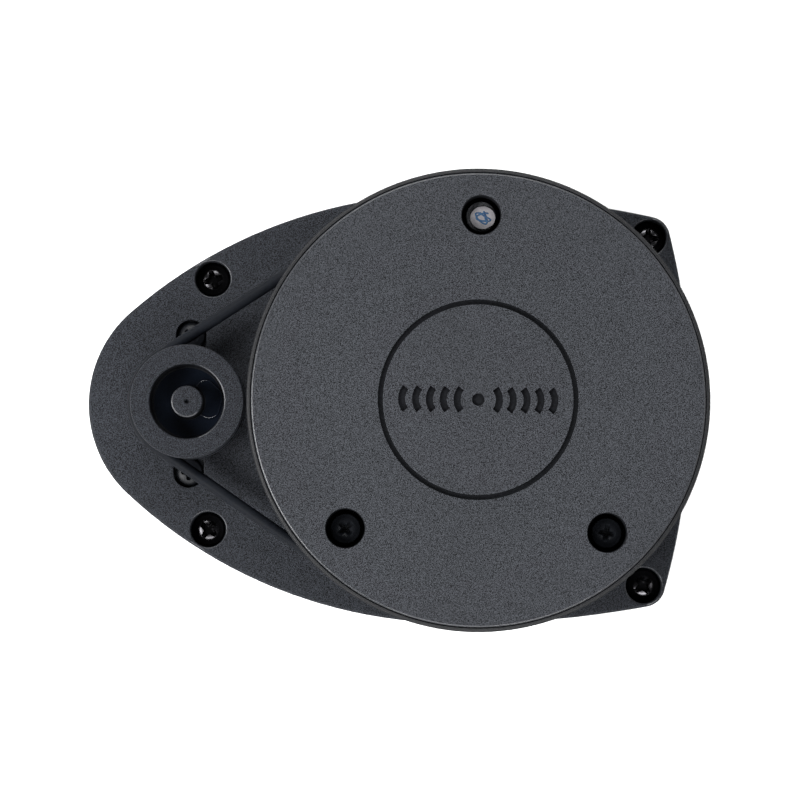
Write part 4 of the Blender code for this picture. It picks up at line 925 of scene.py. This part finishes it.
def make_optics():
    low, high = node_box("optics_frame")
    relief = block("relief", (SCAN_X - 7, low.y - 1, low.z + 5), (SCAN_X + 4, high.y + 1, high.z + 1),
                   corner=0.1)
    steps = cut(*sight_cutters("bore", 3.9, 6.3, 5, 19), relief)
    mesh = reshape(block("optics_block", low, high, corner=1.0, edge=0.3), steps)
    stand_in("optics_frame", mesh, INNER_PLASTIC, "scanner_head")

    def along_y(node, profile, x, material, sharp=38):
        mesh = turned_along_y(lathe(node, profile, ROUND), x, OPTICS_Z)
        stand_in(node, mesh, material, "scanner_head", sharp)

    # Barrels with light-trap threads in their mouths.
    def threads(inner, start, count, pitch, depth):
        points = []
        for i in range(count):
            points += [(inner, start + i * pitch), (inner + depth, start + (i + 0.5) * pitch)]
        return points

    along_y("laser_barrel", [(2.5, 28.0, 0.1), (3.6, 28.0, 0.25), (3.6, 9.2, 0.2), (2.5, 9.2)]
            + threads(2.5, 10.0, 18, 0.8, 0.25), LASER_X, INNER_PLASTIC, 20)
    along_y("receiver_barrel", [(5.1, 26.4, 0.1), (6.0, 26.4, 0.3), (6.0, 6.4, 0.2), (4.0, 6.4)]
            + threads(4.0, 7.2, 16, 0.8, 0.3) + [(4.0, 21.6), (5.1, 21.6)], RECEIVER_X,
            INNER_PLASTIC, 20)

    def bulge(radius, edge, crown):
        """A lens face from its centre to its edge."""
        return [(radius * i / 12, crown - (crown - edge) * (i / 12) ** 2) for i in range(13)]

    along_y("laser_lens", bulge(2.2, 26.5, 27.2) + [(2.2, 25.3), (0, 25.2)], LASER_X,
            LENS_GLASS)
    along_y("receiver_lens", bulge(4.8, 24.4, 26.2) + [(4.8, 22.4), (0, 21.9)], RECEIVER_X,
            LENS_GLASS)


# ----- motor and its holder

def make_motor():
    holder = lathe("holder", [(14.0, 18.7, 0.4), (14.0, 9.0, 0.4), (12.5, 9.0, 0.2), (12.5, 15.7, 0.2),
                              (4.0, 15.7, 0.2), (4.0, 18.7, 0.2)], ROUND * 2, MOTOR_X)
    holes = [hole_tool(SCREW_HOLE, 14, 20, MOTOR_X, side * MOTOR_SCREW_Y, 24) for side in (1, -1)]
    stand_in("motor_holder", reshape(holder, cut(*holes)), LEG_PLASTIC, "root")

    can = lathe("can", [(3.3, 15.4, 0.15), (12.2, 15.4, 0.9), (12.2, 3.1, 0.25), (11.4, 3.1, 0.1),
                        (11.4, 14.6, 0.4), (3.3, 14.6)], ROUND * 2, MOTOR_X)
    stand_in("motor_can", can, CAN_STEEL, "root")

    cap = lathe("end_cap", [(0, 4.6), (11.1, 4.6, 0.1), (11.1, 3.4, 0.3), (9.6, 3.4, 0.1), (9.4, 3.7),
                            (4.2, 3.7), (4.0, 3.4, 0.15), (0, 3.4)], ROUND, MOTOR_X)
    stand_in("motor_end_cap", cap, NYLON, "root")
    x = MOTOR_X + 7.0
    tabs = [block("tab", (x - 0.9, side * 2.2 - 0.9, 2.5), (x + 0.9, side * 2.2 + 0.9, 3.75),
                  corner=0.3, edge=0.1) for side in (1, -1)]
    piece("motor_terminals", joined("terminals", tabs), SOLDER, "root")

    # A lead's way from its terminal: how far out, how far to its side, and the height.
    route = [(0, 2.2, 3.1), (0.3, 2.2, 2.2), (1.4, 2.1, 1.6), (3.6, 2.0, 1.5), (6.0, 1.9, 2.0),
             (7.8, 1.8, 3.4), (8.6, 1.7, 5.4), (8.9, 1.6, 7.6), (9.2, 1.6, 9.4), (10.0, 1.6, 10.8)]
    for name, side, material, slot in (("motor_lead_red", 1, RED_VINYL, "red_insulation"),
                                       ("motor_lead_black", -1, BLACK_VINYL, "black_insulation")):
        path = [(x + out, side * y, z) for out, y, z in route]
        path += [(end, side * 1.6, 11.4) for end in (-14.6, -13.8)]
        tube(name + "_fine", path, 0.55, material, "root", [name])


# ----- lower board

def make_lower_board():
    low, high = node_box("lower_board")
    board = block("board", low, high, corner=2.0, edge=0.1)
    holes = [hole_tool(1.3, low.z - 1, high.z + 1, *place_of(name)) for name in BOARD_SCREWS]
    stand_in("lower_board", reshape(board, cut(*holes)), BOARD, "root")
    underside = low.z

    def hanging(name, x, y, half, thick, corner, edge=0.05):
        """A block under the board, half its length and width to each side of (x, y)."""
        return block(name, (x - half[0], y - half[1], underside - thick),
                     (x + half[0], y + half[1], underside), corner, edge)

    # Surface-mounted resistors and capacitors in short rows, body and end caps apart.
    rng = random.Random(7)
    bodies = []
    ends = []
    rows = [(-9.5, -2.5, 5, 0), (-9.5, 5.2, 4, 0), (10.0, -16.0, 6, 0), (10.0, -3.5, 5, 90),
            (13.0, 4.0, 4, 0), (26.5, -6.0, 5, 90), (5.0, 17.5, 6, 0), (27.5, 8.0, 4, 90)]
    for x, y, count, heading in rows:
        for i in range(count):
            long = rng.choice((1.6, 1.6, 2.0))
            thick = rng.uniform(0.45, 0.8)
            body = (long / 4, long / 2)
            cap = (long / 4 + 0.03, 0.18)
            away = (0, long / 2)
            step = (i * 2.3, 0)
            if heading:
                body, cap, away, step = body[::-1], cap[::-1], away[::-1], step[::-1]
            cx = x + step[0]
            cy = y + step[1]
            bodies.append(hanging("chip", cx, cy, body, thick, 0.08))
            for side in (1, -1):
                ends.append(hanging("end", cx + side * away[0], cy + side * away[1], cap,
                                    thick + 0.03, 0.06))
    piece("board_passives", joined("passives", bodies), CERAMIC, "root")
    piece("board_passive_ends", joined("passive_ends", ends), SOLDER, "root")

    # The driver chip: a square package with leads on four sides.
    low, high = node_box("driver_chip")
    package = block("package", low, high, corner=0.2, edge=0.15)
    centre = (low + high) / 2
    dimple = hole_tool(0.4, low.z - 1, low.z + 0.08, low.x + 1.0, low.y + 1.0)
    stand_in("driver_chip", reshape(package, cut(dimple)), CHIP, "root")
    leads = []
    for side in (1, -1):
        for i in range(8):
            offset = (i - 3.5) * 0.75
            reach = side * 3.9
            for x, y, half in ((reach, offset, (0.5, 0.15)), (offset, reach, (0.15, 0.5))):
                leads.append(hanging("lead", centre.x + x, centre.y + y, half, 0.25, 0.05, 0.03))
    piece("driver_chip_leads", joined("leads", leads), SOLDER, "root")

    spot = place_of("power_inductor")
    low, high = node_box("power_inductor")
    core = lathe("inductor", [(0, high.z), (3.4, high.z, 0.2), (3.4, high.z - 0.8, 0.15),
                              (2.6, high.z - 1.1), (2.6, low.z + 1.1), (3.4, low.z + 0.8, 0.15),
                              (3.4, low.z, 0.25), (0, low.z)], ROUND, *spot)
    stand_in("power_inductor", core, FERRITE, "root")
    turns = [(2.62, low.z + 1.05)]
    for i in range(6):
        z = low.z + 1.2 + i * 0.28
        turns += [(2.75, z - 0.08), (2.86, z), (2.75, z + 0.08), (2.68, z + 0.14)]
    turns += [(2.62, high.z - 1.05), (2.3, high.z - 1.05), (2.3, low.z + 1.05)]
    piece("inductor_winding", lathe("winding", turns, SMALL, *spot), ARMATURE_COPPER, "root")

    spot = place_of("bulk_capacitor")
    low, high = node_box("bulk_capacitor")
    can = lathe("capacitor", [(0, high.z), (3.0, high.z, 0.1), (3.0, high.z - 0.7, 0.1),
                              (2.8, high.z - 1.0, 0.15), (3.0, high.z - 1.3, 0.1),
                              (3.0, low.z, 0.35), (2.2, low.z), (2.1, low.z + 0.12), (0, low.z + 0.12)],
                ROUND, *spot)
    stand_in("bulk_capacitor", can, ZINC, "root")


def make_sockets():
    """The seven-way host socket with its pins, and the two-way motor header."""
    low, high = node_box("host_socket")
    shell = block("socket", low, high, corner=0.3, edge=0.2)
    cavity = block("cavity", (low.x + 1.5, low.y + 1.0, low.z + 1.0),
                   (high.x + 1.0, high.y - 1.0, high.z - 1.0), corner=0.2, edge=0.05)
    keys = [block("key", (low.x + 4.0, y - 1.0, low.z - 1), (high.x + 1, y + 1.0, low.z + 2), 0.1, 0.05)
            for y in (-5.0, 5.0)]
    stand_in("host_socket", reshape(shell, cut(cavity, *keys)), NYLON, "root")

    pins = []
    middle = (low.z + high.z) / 2
    for i in range(7):
        pin = loft("pin", [(square(0.32), low.x + 1.2), (square(0.32), high.x - 1.6),
                           (square(0.144), high.x - 1.0)])
        # Laid along +X.
        pin.transform(Matrix(((0, 0, 1, 0), (1, 0, 0, (i - 3) * 2.5), (0, 1, 0, middle),
                              (0, 0, 0, 1))))
        pins.append(pin)
    piece("host_socket_pins", joined("pins", pins), BRASS, "root")

    low, high = node_box("motor_header")
    shell = block("header", low, high, corner=0.3, edge=0.2)
    entries = [block("entry", (low.x - 1, side * 1.6 - 0.9, 10.3),
                     (low.x + 0.6, side * 1.6 + 0.9, 12.5), 0.1, 0.05) for side in (1, -1)]
    stand_in("motor_header", reshape(shell, cut(*entries)), NYLON, "root")


# ----- carried-over CAD nodes

CARRIED = (
    (BEARING_STEEL, ("bearing_inner_race", "bearing_outer_race", "bearing_ball_cage")),
    (ZINC, ("bearing_retaining_ring", "laser_diode")),
    (COIL_COPPER, ("primary_coil", "secondary_coil")),
    (FERRITE, ("primary_ferrite", "secondary_ferrite", "motor_magnet")),
    (BRONZE, ("motor_bush",)),
    (ARMATURE_COPPER, ("motor_armature",)),
    (DARK_LENS, ("link_emitter", "link_receiver")),
    (INNER_PLASTIC, ("encoder_ring",)),
    (BOARD, ("turret_board", "sensor_board")),
    (CHIP, ("encoder_sensor", "processor_chip", "image_sensor")),
)


def dress_carried_nodes():
    for material, names in CARRIED:
        for name in names:
            mesh = frame["nodes"][name].data
            mesh.materials.clear()
            mesh.materials.append(material)


# ----- stage, lights, camera

def make_floor():
    g = Graph("floor_paper")
    fibre = g.noise(220, detail=3.0)
    g.drive("Base Color", g.blend(g.ramp(fibre, 0.0, 1.0), grey(0.90), grey(0.93)))
    g.drive("Roughness", 0.9)
    g.drive("Specular IOR Level", 0.0)
    g.drive("Emission Strength", 0.15)
    mesh = bpy.data.meshes.new("floor")
    level = -0.0002           # just under the feet
    mesh.from_pydata([(*corner, level) for corner in square(1.5)], [], [(0, 1, 2, 3)])
    mesh.materials.append(g.material)
    floor = add_object("floor", mesh)


STUDIO_LIGHTS = {
    # place, size and power, in metres and watts
    "left_strip": ((-0.49, -0.15, 0.48), (0.45, 0.26), 8.2),
    "right_strip": ((0.50, 0.10, 0.50), (0.40, 0.20), 0.8),
    "back_strip": ((-0.06, 0.45, 0.48), (0.55, 0.14), 3.9),
    "front_strip": ((0.05, -0.43, 0.50), (0.55, 0.14), 3.7),
}
LIGHTS_AIM = Vector((0.0, 0.0, 0.03))


def make_lights():
    """Four soft strips, in a pale world that is darker overhead."""
    world = bpy.data.worlds.new("studio")
    world.use_nodes = True
    tree = world.node_tree
    direction = add_node(tree, "ShaderNodeTexCoord").outputs["Generated"]
    height = add_node(tree, "ShaderNodeSeparateXYZ", {"Vector": direction}).outputs["Z"]
    fade = add_node(tree, "ShaderNodeMapRange", {
        "Value": height, "From Min": 0.45, "From Max": 0.95, "To Min": 0.50, "To Max": 0.05},
        interpolation_type="SMOOTHSTEP")
    background = tree.nodes["Background"].inputs
    feed(tree, background["Color"], (0.94, 0.97, 1.0, 1.0))
    feed(tree, background["Strength"], fade.outputs["Result"])
    bpy.context.scene.world = world
    for name, (place, size, power) in STUDIO_LIGHTS.items():
        light = bpy.data.lights.new(name, "AREA")
        light.shape = "RECTANGLE"
        light.size, light.size_y = size
        light.energy = power
        strip = add_object(name, light)
        strip.location = place
        aim = LIGHTS_AIM - Vector(place)
        strip.rotation_euler = aim.to_track_quat("-Z", "Y").to_euler()


def make_camera():
    """Almost straight above, as fitted to the photo's ring, screw wells and plate corners."""
    camera = bpy.data.cameras.new("camera")
    camera.lens = 199.66
    camera.sensor_width = 36.0
    camera.clip_end = 5.0
    obj = add_object("camera", camera)
    obj.location = (0.00825, -0.02869, 0.7255)
    obj.rotation_euler = tuple(math.radians(a) for a in (2.438, 0.542, 0.982))
    bpy.context.scene.camera = obj
    bpy.context.scene.view_settings.view_transform = "Standard"


# ----- build

make_camera()
make_base_plate()
make_legs()
make_belt()
make_pulley()
make_top_cover()
make_turret()
make_seal()
make_optics()
make_motor()
make_lower_board()
make_sockets()

place_screws(["plate_screw_" + name for name in LEGS], pan_screw(2.45, 1.7, 1.25, 10.0), 18.9,
             BLACK_OXIDE)
place_screws(["motor_screw_left", "motor_screw_right"], pan_screw(2.1, 1.3, 1.25, 4.0), 20.3,
             DULL_BLACK, twist=52)
cover_screw = pan_screw(2.3, 1.6, 1.25, 12.0)
# The first cover screw is light grey as a painted highlight; the other two stay dull black.
place_screws(COVER_SCREWS[:1], cover_screw, 51.1, SCREW_HIGHLIGHT_GREY, "scanner_head")
place_screws(COVER_SCREWS[1:], cover_screw, 51.1, DULL_BLACK, "scanner_head", twist=42)
place_screws(BOARD_SCREWS, pan_screw(1.9, 1.3, 1.0, 4.2), 13.8, ZINC, flip=True)

dress_carried_nodes()
make_floor()
make_lights()
